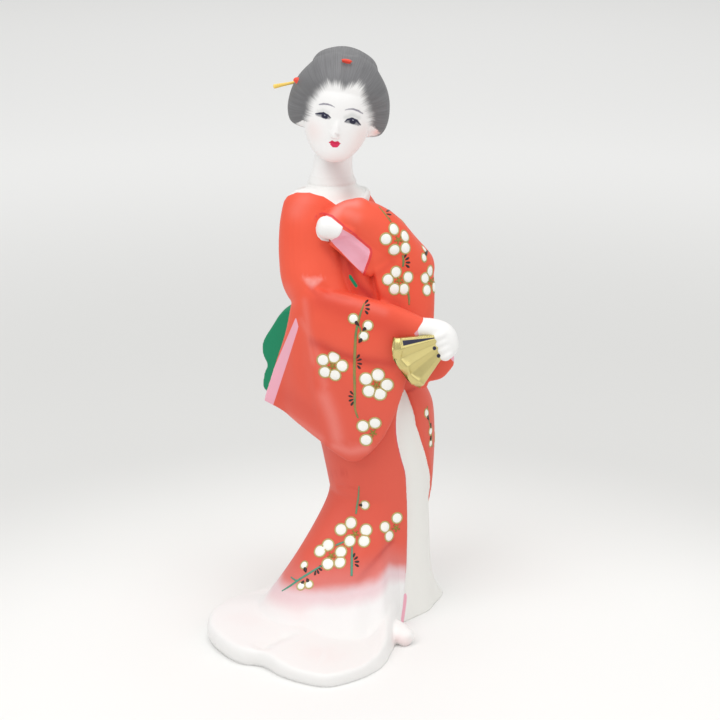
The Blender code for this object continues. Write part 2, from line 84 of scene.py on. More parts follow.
def in_view(points):
    """Places in the view of an array of points on the doll."""
    away = points - np.array(EYE)
    depth = away[:, 1] * math.cos(LOOKS_DOWN) - away[:, 2] * math.sin(LOOKS_DOWN)
    up = away[:, 1] * math.sin(LOOKS_DOWN) + away[:, 2] * math.cos(LOOKS_DOWN)
    return np.stack((VIEW_SIZE / 2 + VIEW_REACH * away[:, 0] / depth,
                     VIEW_SIZE / 2 - VIEW_REACH * up / depth), axis=1)


# The cast figure: body, clothes, head and hands in one. The real one is slip-cast clay, pressed and
# joined while leather-hard, fired without glaze and sanded smooth before painting. Each form below
# is one that the modeller built up, and the voxel remesh fuses them as the wet clay does.
FACING = math.radians(-45)    # the way her body faces, so that the sash's bow is opposite
CLAY_DETAIL = 0.62            # size of the remesh's voxels
CLAY_TRIANGLES = 190000


def through(stations, count):
    """Smooth curve through tuples of numbers, sampled at `count` places."""
    ends = [stations[0], *stations, stations[-1]]
    spans = len(stations) - 1
    samples = []
    for i in range(count):
        t = i * spans / (count - 1)
        k = min(int(t), spans - 1)
        u = t - k
        samples.append(tuple(
            0.5 * (2 * b + (c - a) * u + (2 * a - 5 * b + 4 * c - d) * u ** 2
                   + (3 * b - a - 3 * c + d) * u ** 3)
            for a, b, c, d in zip(*ends[k:k + 4])))
    return samples


def at(stations, x):
    """Value of a table of (x, value) pairs at x, a number or an array, eased between its rows."""
    x = np.asarray(x, dtype=float)
    result = np.full(x.shape, float(stations[0][1]))
    for (x0, v0), (x1, v1) in zip(stations, stations[1:]):
        t = np.clip((x - x0) / (x1 - x0), 0, 1)
        result += (v1 - v0) * t * t * (3 - 2 * t)
    return result


def loft(rings):
    """Closed form over a stack of rings: the first is drawn, and each next one is extruded from it."""
    bm = bmesh.new()
    line = bmesh.ops.create_circle(bm, segments=len(rings[0]), radius=1)["verts"]
    edges = bm.edges[:]
    bmesh.ops.contextual_create(bm, geom=edges)
    for vert, place in zip(line, rings[0]):
        vert.co = place
    for ring in rings[1:]:
        grown = bmesh.ops.extrude_edge_only(bm, edges=edges)["geom"]
        fresh = {g for g in grown if isinstance(g, bmesh.types.BMVert)}
        line = [next(e.other_vert(v) for e in v.link_edges if e.other_vert(v) in fresh) for v in line]
        edges = [g for g in grown if isinstance(g, bmesh.types.BMEdge) and fresh.issuperset(g.verts)]
        for vert, place in zip(line, ring):
            vert.co = place
    bmesh.ops.contextual_create(bm, geom=edges)
    bmesh.ops.recalc_face_normals(bm, faces=bm.faces)
    return bm


def stack(stations, turn=0.0, rows=34, points=56):
    """Form built of level sections: stations are (z, x, y, half width, half depth)."""
    swing = Matrix.Rotation(turn, 3, "Z")
    return loft([[Vector((x, y, z)) + swing @ Vector((wide * math.cos(a), deep * math.sin(a), 0))
                  for a in (math.tau * k / points for k in range(points))]
                 for z, x, y, wide, deep in through(stations, rows)])


def limb(stations, rows=34, points=32):
    """Form along an arm, hand or foot: (x, y, z, radius seen from the front, radius in depth)."""
    path = through(stations, rows)
    rings = []
    across = None
    for i, (x, y, z, wide, high) in enumerate(path):
        before, after = path[max(i - 1, 0)], path[min(i + 1, rows - 1)]
        along = (Vector(after[:3]) - Vector(before[:3])).normalized()
        if across is None:
            across = along.cross(Vector((0, 1, 0)))
        across = (across - along * across.dot(along)).normalized()
        up = across.cross(along)
        rings.append([Vector((x, y, z)) + across * wide * math.cos(math.tau * k / points)
                      + up * high * math.sin(math.tau * k / points) for k in range(points)])
    for end, inner in ((0, 1), (-1, -2)):
        middle = sum(rings[end], Vector()) / points
        out = (middle - sum(rings[inner], Vector()) / points).normalized()
        size = sum((p - middle).length for p in rings[end]) / points
        cap = [[middle + (p - middle) * math.cos(a) ** 0.7 + out * size * 0.8 * math.sin(a)
                for p in rings[end]] for a in (0.25, 0.5, 0.75, 1.0, 1.2, 1.35)]
        rings = list(reversed(cap)) + rings if end == 0 else rings + cap
    return loft(rings)


def hanging(stations, rows=40, points=56):
    """Sleeve hanging from an arm: (top x, y, z, foot x, y, z, top thickness, foot thickness)."""
    path = through(stations, rows)
    rings = []
    for i, s in enumerate(path):
        top, foot = Vector(s[0:3]), Vector(s[3:6])
        before, after = path[max(i - 1, 0)], path[min(i + 1, rows - 1)]
        along = Vector((after[0] - before[0] + after[3] - before[3],
                        after[1] - before[1] + after[4] - before[4], 0))
        out = along.normalized().cross(Vector((0, 0, 1)))
        ring = []
        for k in range(points):
            a = math.tau * k / points
            up = 0.5 + 0.5 * math.cos(a)
            thick = s[7] + (s[6] - s[7]) * up ** 1.5
            ring.append(foot + (top - foot) * up
                        + out * math.copysign(thick * abs(math.sin(a)) ** 0.6, math.sin(a)))
        rings.append(ring)
    return loft(rings)


# skirt, under-robe and train: the hems are (x, y) on the floor, the legs (height, x, y, radius)
FEET = Vector((5.0, 0.0, 0.0))
KNEE_HEIGHT = 66.0
PANEL_FOOT = -73.5            # direction from the feet, in degrees, of the near panel's edge
PANEL = 2.2                   # how far the kimono's panels stand off the under-robe
RIM = 9.5                     # thickness of the train's rounded rim
TRAIN_HEM = ((-50, 0), (-65, -8), (-75, -17), (-82, -30), (-86, -44), (-84.5, -58), (-76.5, -73),
             (-67, -83), (-56, -86.5), (-46, -97), (-34, -105), (-22, -108.5), (-11, -103), (-2, -96),
             (5.5, -86), (10.5, -68), (13.5, -53), (16, -38))
ROBE_HEM = ((16, -36), (26, -26), (33, -18), (37, -8), (42, 7), (36, 20), (24, 32), (5, 37),
            (-14, 34), (-30, 26), (-41, 15), (-50, 0))
LEGS = ((0, 5, 0, 30), (30, 5, 0, 28.5), (KNEE_HEIGHT, 5, 0, 27.4), (90, 3.2, 0.6, 30.3),
        (112, 0, 2, 32.5), (124, -3, 2, 30))
# edges of the kimono's panels, between which the under-robe shows: height against direction
NEAR_EDGE = through(((0, PANEL_FOOT), (12, -68), (31, -62), (55, -58.5), (79, -60), (90, -65), (102, -68),
                     (112, -66), (119, -59), (127, -44)), 60)
FAR_EDGE = through(((0, 54), (25, 38), (48, 22), (60, 10), (68, -4), (80, -22), (93, -35), (102, -41.5),
                    (110, -45), (127, -43.5)), 60)


def under_robe_shows(turn, z):
    """1 between the two edges of the kimono, 0 elsewhere."""
    past_near = turn - np.interp(z, *zip(*NEAR_EDGE))
    past_far = turn - np.interp(z, *zip(*FAR_EDGE))
    return at(((-2.5, 0), (0, 1)), past_near) * at(((-1, 1), (1.5, 0)), past_far)


def skirt(columns=320, rows=120):
    """Panels, under-robe and train: one profile for each direction from the feet."""
    def polar(points, start):
        rows_of = []
        for x, y in points:
            turn = math.degrees(math.atan2(y - FEET.y, x - FEET.x)) % 360
            rows_of.append((turn if turn < start + 360 else turn - 360, math.hypot(x - FEET.x, y - FEET.y)))
        return rows_of
    angles = PANEL_FOOT + 360.0 * np.arange(columns) / columns
    train = polar(through(TRAIN_HEM, 90), 60)
    robe = polar(through(ROBE_HEM, 60), -130)
    hem = np.where(angles < 179, at(robe, angles), at(train, angles))
    trailing = np.where(angles < 179, at(((120, 0), (179, 0.6)), angles),
                        at(((179, 0.6), (195, 1), (262, 1), (286.5, 0)), angles))
    rim = RIM * at(((179, 0.75), (205, 1.15), (232, 1.0), (250, 0.75), (285, 0.6)), angles)
    climb = at(((179, 0.62), (205, 0.65), (232, 0.64), (262, 0.62), (285, 0.9)), angles)
    hollow = at(((215, 1), (245, 1.3)), angles)
    turn = np.where(angles < 180, angles, angles - 360)
    late = at(((-60, 2.2), (-25, 7), (60, 7), (100, 2.2)), turn)
    heading = np.radians(angles)
    rings = []
    for i in range(rows + 1):
        t = i / rows
        z_robe = KNEE_HEIGHT * t
        r_robe = LEGS[0][3] - 2.4 * t
        r_robe = r_robe + (hem - r_robe) * (1 - t) ** late
        if t < 0.2:
            a = math.pi * 0.92 * t / 0.2 - math.pi / 2
            r_train = hem - rim * 0.5 + rim * 0.5 * math.cos(0.75 * a)
            z_train = rim * 0.5 + rim * 0.5 * math.sin(a)
        else:
            s = (t - 0.2) / 0.8
            r_train = LEGS[2][3] + (hem - rim * 0.35 - LEGS[2][3]) * (1 - s) ** hollow
            slope = np.maximum(0.0, (s - 1 + climb) / climb)
            z_train = rim + (KNEE_HEIGHT - rim) * slope ** 1.2
        r = r_robe + (r_train - r_robe) * trailing
        z = z_robe + (z_train - z_robe) * trailing
        r = r - PANEL * under_robe_shows(turn, z)
        rings.append([Vector((FEET.x + q * math.cos(a), FEET.y + q * math.sin(a), h))
                      for q, a, h in zip(r, heading, z)])
    for z, x, y, r in through(LEGS[2:], 44)[1:]:
        rings.append([Vector((x + q * math.cos(a), y + q * math.sin(a), z))
                      for q, a in zip(r - PANEL * under_robe_shows(turn, z), heading)])
    return loft(rings)


# trunk, neck, sleeves and arms, each in the order of numbers that its kind of form gives above
TRUNK = ((104, 0, 2, 31, 29), (125, -3, 2, 30, 28), (145, -6, 2, 28, 26), (165, -9, 2, 27, 24),
         (185, -12, 1, 26, 22), (205, -16, 0, 26, 19), (218, -18.5, -1, 24, 17), (226, -20, -2, 19, 15),
         (231, -20.5, -2.5, 13, 12.5))
NECK = ((222, -20.6, -1, 14, 12.5), (230.5, -20.6, -2, 13.2, 12), (236, -20.6, -3, 11, 10.5),
        (243, -20, -4, 9.8, 10), (252, -19, -4, 9.8, 10), (262, -18, -3, 10, 11))
NEAR_SLEEVE = ((-39, -13, 164, -56.5, -9, 116.5, 5, 2.5), (-36, -20, 180, -46, -13, 112, 9, 3.5),
               (-31, -27, 186, -38.5, -20, 108, 11, 4.5), (-25, -31, 184, -27.5, -28, 101.5, 11, 5),
               (-13, -33, 181, -19, -31, 95, 10.5, 5), (0, -34.5, 178, -8, -34, 91.5, 10, 5),
               (12, -35, 174.5, 5, -36, 104, 9, 4.5), (20, -35, 171, 13, -37, 122, 7.5, 3.5),
               (25.5, -35, 168.5, 17.5, -37, 138, 6, 2.5))
NEAR_ARM = ((-29, -10, 218, 17, 13), (-30, -12, 209, 17.5, 14), (-29.5, -15, 196, 18.2, 14),
            (-28, -19, 184, 17.5, 14), (-22, -25, 173, 13, 12))
CHEST = ((-16, -10, 212, 11, 11), (-14, -13, 200, 12, 11), (-9, -16, 186, 12, 11), (-2, -18, 172, 11, 11))
FAR_SLEEVE = ((28, -3, 188, 27.5, -21, 131, 5, 2.5), (25, -9, 195, 26, -25, 128, 9, 4),
              (14, -14, 210, 16, -26, 136, 11, 5), (3, -19, 220.5, 8, -27, 150, 11, 5),
              (-4, -22, 227, 3, -28, 178, 9, 4), (-10, -23.5, 227, 1, -28.5, 190, 7, 3))
LINING = ((-18, -29.5, 213, -22, -28, 205, 3.5, 2.2), (-10, -29.5, 209.5, -14.5, -28, 198.5, 4.2, 2.4),
          (-2.5, -29, 203, -8, -28, 192, 4.2, 2.4), (1, -27.5, 199, -0.5, -27, 187.5, 3, 2))
FAR_CORNER = ((22, -23, 160, 27, -23, 131, 5, 2.5), (33, -23.5, 154, 36, -24, 133.5, 4.5, 2.2),
              (42, -24, 147, 42, -24, 140.5, 2.5, 1.5))
FAR_ARM = ((-10, 10, 209, 13, 13), (3.5, 8, 203.5, 12.5, 12.5), (13.5, 2, 193.5, 12.5, 12.5),
           (19.8, -5, 187, 13, 13), (14, -13, 194, 13, 13), (5, -18, 206, 13, 13),
           (-3, -21, 214, 11.5, 12), (-10, -23, 218, 9, 11), (-17, -26, 217.5, 6.2, 8.2))

# the white band of the under-collar, from its highest point at the nape to the V in front
COLLAR = ((-34, 11, 223.5), (-22, 16.5, 224), (-9, 13, 223.5), (-3.5, 1.5, 223.8), (-6, -10, 221),
          (-13, -17, 219.5), (-23, -17.5, 221.5), (-32.5, -14.5, 222.5), (-38.5, -3, 223.5))
COLLAR_HIGH, COLLAR_THICK, COLLAR_LEAN = 9.0, 4.5, 0.3


def collar(count=96):
    """Upright flattened band that leans outwards, closed round the neck."""
    looped = COLLAR + COLLAR[:3]
    points = through(looped, count * (len(looped) - 1) // len(COLLAR) + 1)
    start = round((len(points) - 1) / (len(looped) - 1))
    points = [Vector(p) for p in points[start:start + count]]
    middle = sum(points, Vector()) / count
    bm = bmesh.new()
    ring_loops = []
    for p in points:
        out = Vector((p.x - middle.x, p.y - middle.y, 0)).normalized()
        up = (Vector((0, 0, 1)) + out * COLLAR_LEAN).normalized()
        side = (out - up * out.dot(up)).normalized()
        section = bmesh.ops.create_circle(bm, segments=16, radius=1)["verts"]
        for k, vert in enumerate(section):
            a = math.tau * k / 16
            vert.co = p + up * COLLAR_HIGH / 2 * math.sin(a) + side * COLLAR_THICK / 2 * math.cos(a)
        ring_loops.append(list({e for v in section for e in v.link_edges}))
    for k in range(count):
        bmesh.ops.bridge_loops(bm, edges=ring_loops[k] + ring_loops[(k + 1) % count])
    bmesh.ops.recalc_face_normals(bm, faces=bm.faces)
    return bm


# hands and foot, and the fingers between the first and the last of a row of knuckles
FAN_HAND = ((20, -34.5, 162.5, 5, 5.4), (28, -35, 163, 5.4, 5.4), (35.5, -35.5, 160, 6.2, 5.6),
            (38, -36, 154, 5.6, 5), (36, -36.5, 150, 4.2, 3.8))
RAISED_FIST = ((-12, -28.5, 212.3, 5, 5.5), (-17.5, -30, 213, 5.6, 6), (-23.5, -31, 214.3, 5.6, 5.8))
FOOT = ((4, -44, 5, 5, 7), (12, -53, 4.8, 5, 7.4), (17, -58.5, 4.2, 4.2, 5.4))
KNUCKLES = (Vector((36.5, -36.5, 162.0)), Vector((40.0, -36.5, 152.0)))
FINGERTIPS = (Vector((31.6, -40.6, 159.6)), Vector((35.2, -40.4, 149.4)))


def finger(k):
    """The k-th of four fingers, bent round the fan's foot."""
    knuckle = KNUCKLES[0].lerp(KNUCKLES[1], k / 3)
    tip = FINGERTIPS[0].lerp(FINGERTIPS[1], k / 3)
    bend = knuckle.lerp(tip, 0.55) + Vector((0.8, -1.5, 0.3))
    return limb(((*knuckle, 2.3, 2.3), (*bend, 2.1, 2.1), (*tip, 1.7, 1.7)), rows=15, points=20)


# head, in a frame of its own between the ears: height, half width, front, back
HEAD_MIDDLE = Vector((-17.1, -5.5, 268.6))
HEAD_TURN = Matrix.Rotation(math.radians(9), 4, "Y") @ Matrix.Rotation(math.radians(6), 4, "X")
HEAD = Matrix.Translation(HEAD_MIDDLE) @ HEAD_TURN
FACE = ((-22.9, 3.4, -14.5, -7), (-21.5, 7.2, -17, -3), (-18, 11.4, -18, 3), (-12.6, 14.9, -18.4, 9),
        (-6, 16.7, -18.8, 13), (0, 17.4, -18.8, 15), (8, 17.4, -18.8, 16), (14, 16.4, -17, 15),
        (21, 12.5, -12, 10), (25, 6, -5, 4))
HAIR = ((-12.6, 18.5, 2, 13), (-11.2, 22.8, -1.5, 17), (-8, 25, -4, 21), (-2, 26, -8, 24),
        (6, 25.2, -12.5, 26), (13, 22.9, -16.8, 25), (19, 19.2, -16.5, 22), (25, 13.8, -11, 17),
        (29, 6, -4, 10))
NOSE = ((0, -17.6, 2, 1.2, 0.9), (0, -18.9, -4, 1.5, 1.2), (0, -19.3, -8, 2.0, 1.5))
BUN = ((8, 9, 8, 24), (13, 15, 2, 28), (19, 17, -2, 28), (25, 14.5, -4.5, 25), (28.6, 8.5, -1, 19),
       (30, 3, 4, 14))


def head_form(stations):
    """Form built of level sections in the head's own frame."""
    return stack([(z, 0, (front + back) / 2, wide, (back - front) / 2)
                  for z, wide, front, back in stations], rows=44, points=72)


# the two red ornaments moulded on the hair: middle, half length, half height
ORNAMENTS = ((Vector((-12.8, -17.7, 295.2)), 3.2, 0.9), (Vector((-38.2, -8.0, 284.4)), 1.7, 1.5))


def ornament(middle, half_length, half_height):
    """A flattened drop of clay pressed on to the hair."""
    bm = bmesh.new()
    bmesh.ops.create_uvsphere(bm, u_segments=24, v_segments=16, radius=1)
    shape = Matrix.Rotation(math.radians(9), 4, "Y") @ Matrix.Diagonal((half_length, 1.4, half_height, 1))
    bmesh.ops.transform(bm, verts=bm.verts, matrix=Matrix.Translation(middle) @ shape)
    return bm


# sash and its drum bow: distance behind the trunk's middle against height
SASH = ((150, -7, 2, 28.5, 26.5), (165, -9.5, 2, 28, 25), (181, -11.5, 1.5, 27, 24))
BOW_PROFILE = ((18, 168), (29, 165), (38.5, 154), (46.5, 143), (47, 135), (43, 128.5), (46, 122), (47, 113),
               (41, 111), (34, 114), (18, 120))
BOW_HALF_WIDTH = 27.0
TRUNK_MIDDLE = Vector((-8, 2, 0))


def drum_bow():
    """The folded pad of the sash at her back, its outline carried across and pinched at both sides."""
    back = Vector((-math.cos(FACING), -math.sin(FACING), 0))
    side = Vector((-back.y, back.x, 0))
    outline = through(BOW_PROFILE + BOW_PROFILE[:1], 81)[:-1]
    rings = []
    for step in range(-9, 10):
        shrink = 1 - 0.16 * abs(step / 9) ** 6
        rings.append([TRUNK_MIDDLE + back * (30 + (d - 30) * shrink) + side * BOW_HALF_WIDTH * step / 9
                      + Vector((0, 0, 138 + (z - 138) * shrink)) for d, z in outline])
    return loft(rings)


trunk_turn = FACING + math.pi / 2
on_head = [head_form(FACE), limb(NOSE, rows=12, points=20), head_form(HAIR), head_form(BUN)]
for bm in on_head:
    bmesh.ops.transform(bm, verts=bm.verts, matrix=HEAD)
face_form, nose_form, hair_form, bun_form = on_head
forms = {
    "cloth": [skirt(), stack(TRUNK, turn=trunk_turn), hanging(NEAR_SLEEVE), limb(NEAR_ARM), limb(CHEST)],
    "raised_sleeve": [hanging(FAR_SLEEVE), hanging(FAR_CORNER), limb(FAR_ARM)],
    "lining": [hanging(LINING, rows=12)],
    "collar": [collar()],
    "sash": [stack(SASH, turn=trunk_turn, rows=12), drum_bow()],
    "skin": [stack(NECK, rows=16, points=40), face_form, nose_form, limb(FAN_HAND), limb(RAISED_FIST),
             limb(FOOT), *(finger(k) for k in range(4))],
    "hair": [hair_form, bun_form],
    "ornament": [ornament(*spec) for spec in ORNAMENTS],
}


def join(parts):
    """One bmesh out of several, which are freed."""
    whole = bmesh.new()
    for part in parts:
        mesh = bpy.data.meshes.new("form")
        part.to_mesh(mesh)
        part.free()
        whole.from_mesh(mesh)
        bpy.data.meshes.remove(mesh)
    return whole


def as_object(bm, name):
    mesh = bpy.data.meshes.new(name)
    bm.to_mesh(mesh)
    bm.free()
    mesh.shade_smooth()
    obj = bpy.data.objects.new(name, mesh)
    bpy.context.collection.objects.link(obj)
    return obj


def apply_modifiers(obj):
    graph = bpy.context.evaluated_depsgraph_get()
    graph.update()
    mesh = bpy.data.meshes.new_from_object(obj.evaluated_get(graph))
    obj.modifiers.clear()
    obj.data = mesh


groups = {name: join(parts) for name, parts in forms.items()}
form_trees = {name: BVHTree.FromBMesh(bm) for name, bm in groups.items()}
form_boxes = {name: (np.min([v.co for v in bm.verts], axis=0), np.max([v.co for v in bm.verts], axis=0))
              for name, bm in groups.items()}
figure = as_object(join(groups.values()), "painted_figure")
remesh = figure.modifiers.new("cast", "REMESH")
remesh.mode = "VOXEL"
remesh.voxel_size = CLAY_DETAIL
smooth = figure.modifiers.new("sanded", "SMOOTH")
smooth.factor = 0.5
smooth.iterations = 8
apply_modifiers(figure)

# folds pressed into the clay, seen from the front: (x, z) from end to end, half width, depth (a ridge
# is negative)
FOLDS = (
    (((-29.5, 180), (-28.5, 168), (-28.5, 145), (-27.5, 124), (-24, 104)), 3.2, -1.1),
    (((-36, 172), (-36.5, 150), (-33.5, 125)), 4.5, 0.9),
    (((-27.5, 157), (-21, 151), (-11, 147), (2, 143.5), (16, 141.5)), 3.0, 1.8),
    (((-24, 140), (-12, 122), (0, 112), (9, 110)), 5.5, 0.8),
    (((0, 192), (9, 197.5), (19, 199)), 2.8, 0.9),
    (((-27, 186), (-18, 180), (-8, 178)), 2.0, 0.9),
    (((13, 46), (3, 36), (-9, 26), (-20, 20)), 3.6, 1.5),
    (((12, 58), (-2, 46), (-16, 33), (-30, 24)), 5.0, -0.8),
    (((-19, 208), (-13.5, 204.5), (-8, 200), (-5, 195), (-4.5, 191)), 3.2, 1.2),
    (((-19, 71), (-12, 72), (-6, 71)), 2.0, 0.7),
)
# the fold between the two lobes of the train, seen from above: (x, y) from end to end
LOBE_FOLD = (((-56, -92), (-56.5, -84), (-54, -76), (-47, -68), (-38, -62)), 4.5, 2.4)


def vertex_array(mesh, what="co"):
    values = np.empty(len(mesh.vertices) * 3, dtype=np.float32)
    if what == "co":
        mesh.vertices.foreach_get("co", values)
    else:
        mesh.vertex_normals.foreach_get("vector", values)
    return values.reshape(-1, 3).astype(float)


def near_path(points, path, reach):
    """Indices of the points within reach of a path, with their distances and shares along it."""
    path = np.array(path)
    low, high = path.min(axis=0) - reach, path.max(axis=0) + reach
    index = np.nonzero(((points > low) & (points < high)).all(axis=1))[0]
    best = np.full(len(index), np.inf)
    share = np.zeros(len(index))
    for k, (a, b) in enumerate(zip(path, path[1:])):
        run = b - a
        t = np.clip(((points[index] - a) @ run) / max(run @ run, 1e-9), 0, 1)
        away = np.linalg.norm(points[index] - a - t[:, None] * run, axis=1)
        share = np.where(away < best, (k + t) / (len(path) - 1), share)
        best = np.minimum(best, away)
    keep = best < reach
    return index[keep], best[keep], share[keep]


def press(obj, strokes):
    """Push the clay in along each stroke, laid on it by a ray, with a soft round groove."""
    mesh = obj.data
    tree = BVHTree.FromObject(obj, bpy.context.evaluated_depsgraph_get())
    places, normals = vertex_array(mesh), vertex_array(mesh, "normal")
    moved = np.zeros(len(places))
    for laid, half_width, depth in strokes(tree):
        index, away, share = near_path(places, laid, half_width * 2.6)
        ends = np.clip(4 * share, 0, 1) * np.clip(4 * (1 - share), 0, 1)
        moved[index] -= depth * ends * np.exp(-(away / half_width) ** 2)
    places += normals * moved[:, None]
    mesh.vertices.foreach_set("co", places.astype(np.float32).ravel())
    mesh.update()


def clay_strokes(tree):
    for points, half_width, depth in FOLDS:
        starts = [Vector((x, -TALL, z)) for x, z in through(points, 12 * len(points))]
        hits = [tree.ray_cast(start, Vector((0, 1, 0)))[0] for start in starts]
        yield [h for h in hits if h is not None], half_width, depth
    points, half_width, depth = LOBE_FOLD
    starts = [Vector((x, y, 2 * TALL)) for x, y in through(points, 12 * len(points))]
    hits = [tree.ray_cast(start, Vector((0, 0, -1)))[0] for start in starts]
    yield [h for h in hits if h is not None], half_width, depth


press(figure, clay_strokes)

# the underside is ground flat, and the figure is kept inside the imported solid's box
GROUND_OFF = 0.9
places = vertex_array(figure.data)
places[places[:, 2] < GROUND_OFF, 2] = 0.0
low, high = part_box("figure")
inverse = TO_FRAME.inverted()
places = np.clip(places, np.array(inverse @ Vector(low)), np.array(inverse @ Vector(high)))
figure.data.vertices.foreach_set("co", places.astype(np.float32).ravel())
figure.data.update()
thin = figure.modifiers.new("thin", "DECIMATE")
thin.ratio = CLAY_TRIANGLES / (2 * len(figure.data.polygons))
apply_modifiers(figure)
clay = BVHTree.FromObject(figure, bpy.context.evaluated_depsgraph_get())

# The painting of the figure. The dry clay takes a coat of white glue paint, and then matt pigments:
# vermilion sprayed thin towards the hem, flat green, pink and white up to the creases. Every region
# is kept as the distance in millimetres to its own border, so that its edge is as sharp as a brush's.
spots = vertex_array(figure.data)
BORDER = 4.0                  # distances past this far from a border aren't kept
NECK_BARE_FROM = 232.0        # everything above this height is skin or hair


def form_distances(group):
    tree = form_trees[group]
    low, high = form_boxes[group]
    close = np.nonzero(((spots > low - BORDER) & (spots < high + BORDER)).all(axis=1))[0]
    found = np.full(len(spots), BORDER)
    for i in close:
        hit = tree.find_nearest(spots[i], BORDER)
        if hit[3] is not None:
            found[i] = hit[3]
    return found


def border_of(*names):
    """Distance to the border between these groups and the others, positive on their side."""
    own = np.min([away[name] for name in names], axis=0)
    others = np.min([away[name] for name in away if name not in names], axis=0)
    return others - own


edge_ends = np.empty(2 * len(figure.data.edges), dtype=np.int32)
figure.data.edges.foreach_get("vertices", edge_ends)
edge_ends = edge_ends.reshape(-1, 2)
neighbours = np.bincount(edge_ends.ravel(), minlength=len(spots))


def evened(values, rounds=8):
    """A border without the steps that voxels leave: each value is averaged with those around it."""
    for _ in range(rounds):
        around = (np.bincount(edge_ends[:, 0], values[edge_ends[:, 1]], len(spots))
                  + np.bincount(edge_ends[:, 1], values[edge_ends[:, 0]], len(spots)))
        values = 0.5 * values + 0.5 * around / neighbours
    return values


def outline_distance(places, outline):
    """Distance of places in the view to a drawn outline, positive inside it."""
    index, away, share = near_path(places, [*outline, outline[0]], np.inf)
    inside = np.zeros(len(places), dtype=bool)
    for a, b in zip(outline, outline[1:] + outline[:1]):
        crosses = (a[1] > places[:, 1]) != (b[1] > places[:, 1])
        level = a[0] + (places[:, 1] - a[1]) * (b[0] - a[0]) / ((b[1] - a[1]) or 1e-9)
        inside ^= crosses & (places[:, 0] < level)
    return np.where(inside, away, -away)


def on_clay(u, v):
    """Where the clay lies under a place in the view, and the way it faces there."""
    return clay.ray_cast(EYE, sight(u, v))[:2]


def airbrush(dabs):
    """Soft clouds of pigment: each is a line in the view, a radius and a strength."""
    cloud = np.zeros(len(spots))
    for line, radius, strength in dabs:
        laid = [hit for hit, normal in (on_clay(u, v) for u, v in through(line, 4 * len(line)))
                if hit is not None]
        index, distance, share = near_path(spots, laid, 2.5 * radius)
        dab = strength * np.exp(-(distance / radius) ** 2)
        cloud[index] = np.maximum(cloud[index], dab)
    return cloud


def keep(name, values, obj=figure):
    """Store one value for each vertex, for the object's materials to read."""
    attribute = obj.data.attributes.new(name, "FLOAT", "POINT")
    attribute.data.foreach_set("value", np.asarray(values, dtype=np.float32))


view_places = in_view(spots)
away = {name: form_distances(name) for name in form_trees}

# the white under-robe between the edges of the kimono, as far out from the legs' axis as the legs
# reach and not on the sleeves before them, and the pink lining of the near edge's foot
LEGS_REACH, HEM_SPREAD = 34.5, 0.4
FOOT_LINING = (2.2, 15.0)     # width and height of the lining turned out at the foot
lean_x = np.interp(spots[:, 2], [row[0] for row in LEGS], [row[1] for row in LEGS])
lean_y = np.interp(spots[:, 2], [row[0] for row in LEGS], [row[2] for row in LEGS])
from_axis = np.hypot(spots[:, 0] - lean_x, spots[:, 1] - lean_y)
turn = np.degrees(np.arctan2(spots[:, 1] - lean_y, spots[:, 0] - lean_x))
past_near_edge = np.radians(turn - np.interp(spots[:, 2], *zip(*NEAR_EDGE))) * from_axis
before_far_edge = np.radians(np.interp(spots[:, 2], *zip(*FAR_EDGE)) - turn) * from_axis
leg_reach = LEGS_REACH + HEM_SPREAD * np.clip(KNEE_HEIGHT - spots[:, 2], 0, KNEE_HEIGHT)
below_join = NEAR_EDGE[-1][0] - spots[:, 2]
under_robe = np.min([past_near_edge, before_far_edge, below_join, leg_reach - from_axis], axis=0)
under_robe = evened(np.clip(under_robe, -BORDER, BORDER), 3)
keep("under_robe", under_robe)
hem_lining = np.min([past_near_edge + 0.4, FOOT_LINING[0] - past_near_edge, FOOT_LINING[1] - spots[:, 2]],
                    axis=0)

# pink linings: the raised sleeve's mouth, the back of the near sleeve, its cuff, the far sleeve's corner
MOUTH = ((334, 232), (342.4, 229), (353.5, 235.8), (369.2, 249), (370, 252), (368.3, 258.7), (362.8, 274),
         (349.8, 261), (331, 241.5))
FIST = ((315.6, 224), (315.8, 219), (317.5, 216.4), (324, 214.8), (331.3, 217.6), (342.8, 227), (341.5, 232),
        (338.7, 236.6), (329.5, 241.6), (322, 240.5), (318.4, 238.4), (316, 232))
CORNER = ((447, 354), (452, 350), (459, 351), (459, 362), (453, 361.5), (450, 358))
CUFF = ((414, 333.5), (421, 326.5), (423.5, 334.5), (415, 335.5))
SLEEVE_BACK = ((296, 317), (298.5, 327), (286, 366), (272, 408.5), (258, 404), (262, 396))
facing = vertex_array(figure.data, "normal")
# an outline drawn in the view holds only at the depth of what it was drawn on
in_mouth = np.where((spots[:, 1] < -21) & (spots[:, 1] > -40),
                    outline_distance(view_places, MOUTH) * PIXEL, -BORDER)
in_fist = np.where(spots[:, 1] < -25, outline_distance(view_places, FIST) * PIXEL, -BORDER)
in_cuff = np.where(spots[:, 1] < -30, outline_distance(view_places, CUFF) * PIXEL, -BORDER)
on_sleeve_back = np.where((facing[:, 1] < 0.1) & (away["sash"] > 0.5) & (spots[:, 1] < 0),
                          outline_distance(view_places, SLEEVE_BACK) * PIXEL, -BORDER)
BACK_EDGE = (Vector((-38.0, -13.5, 166)), Vector((-47, -11, 141)), Vector((-57.5, -9, 114)))
index, distance, share = near_path(spots, BACK_EDGE, 7.0)
back_edge = np.full(len(spots), -BORDER)
back_edge[index] = np.where(facing[index, 1] >= 0.1, 1.0 + 2.5 * share - distance, -BORDER)
on_cloth = np.minimum(away["cloth"], away["raised_sleeve"]) < away["skin"]
corner = np.where(on_cloth & (spots[:, 2] < 165), outline_distance(view_places, CORNER) * PIXEL, -BORDER)
pink = np.max([np.minimum(in_mouth, -in_fist), in_cuff, on_sleeve_back, back_edge, corner, hem_lining],
              axis=0)
pink = np.minimum(pink, evened(away["sash"] - np.minimum(away["cloth"], away["raised_sleeve"])) + 0.2)
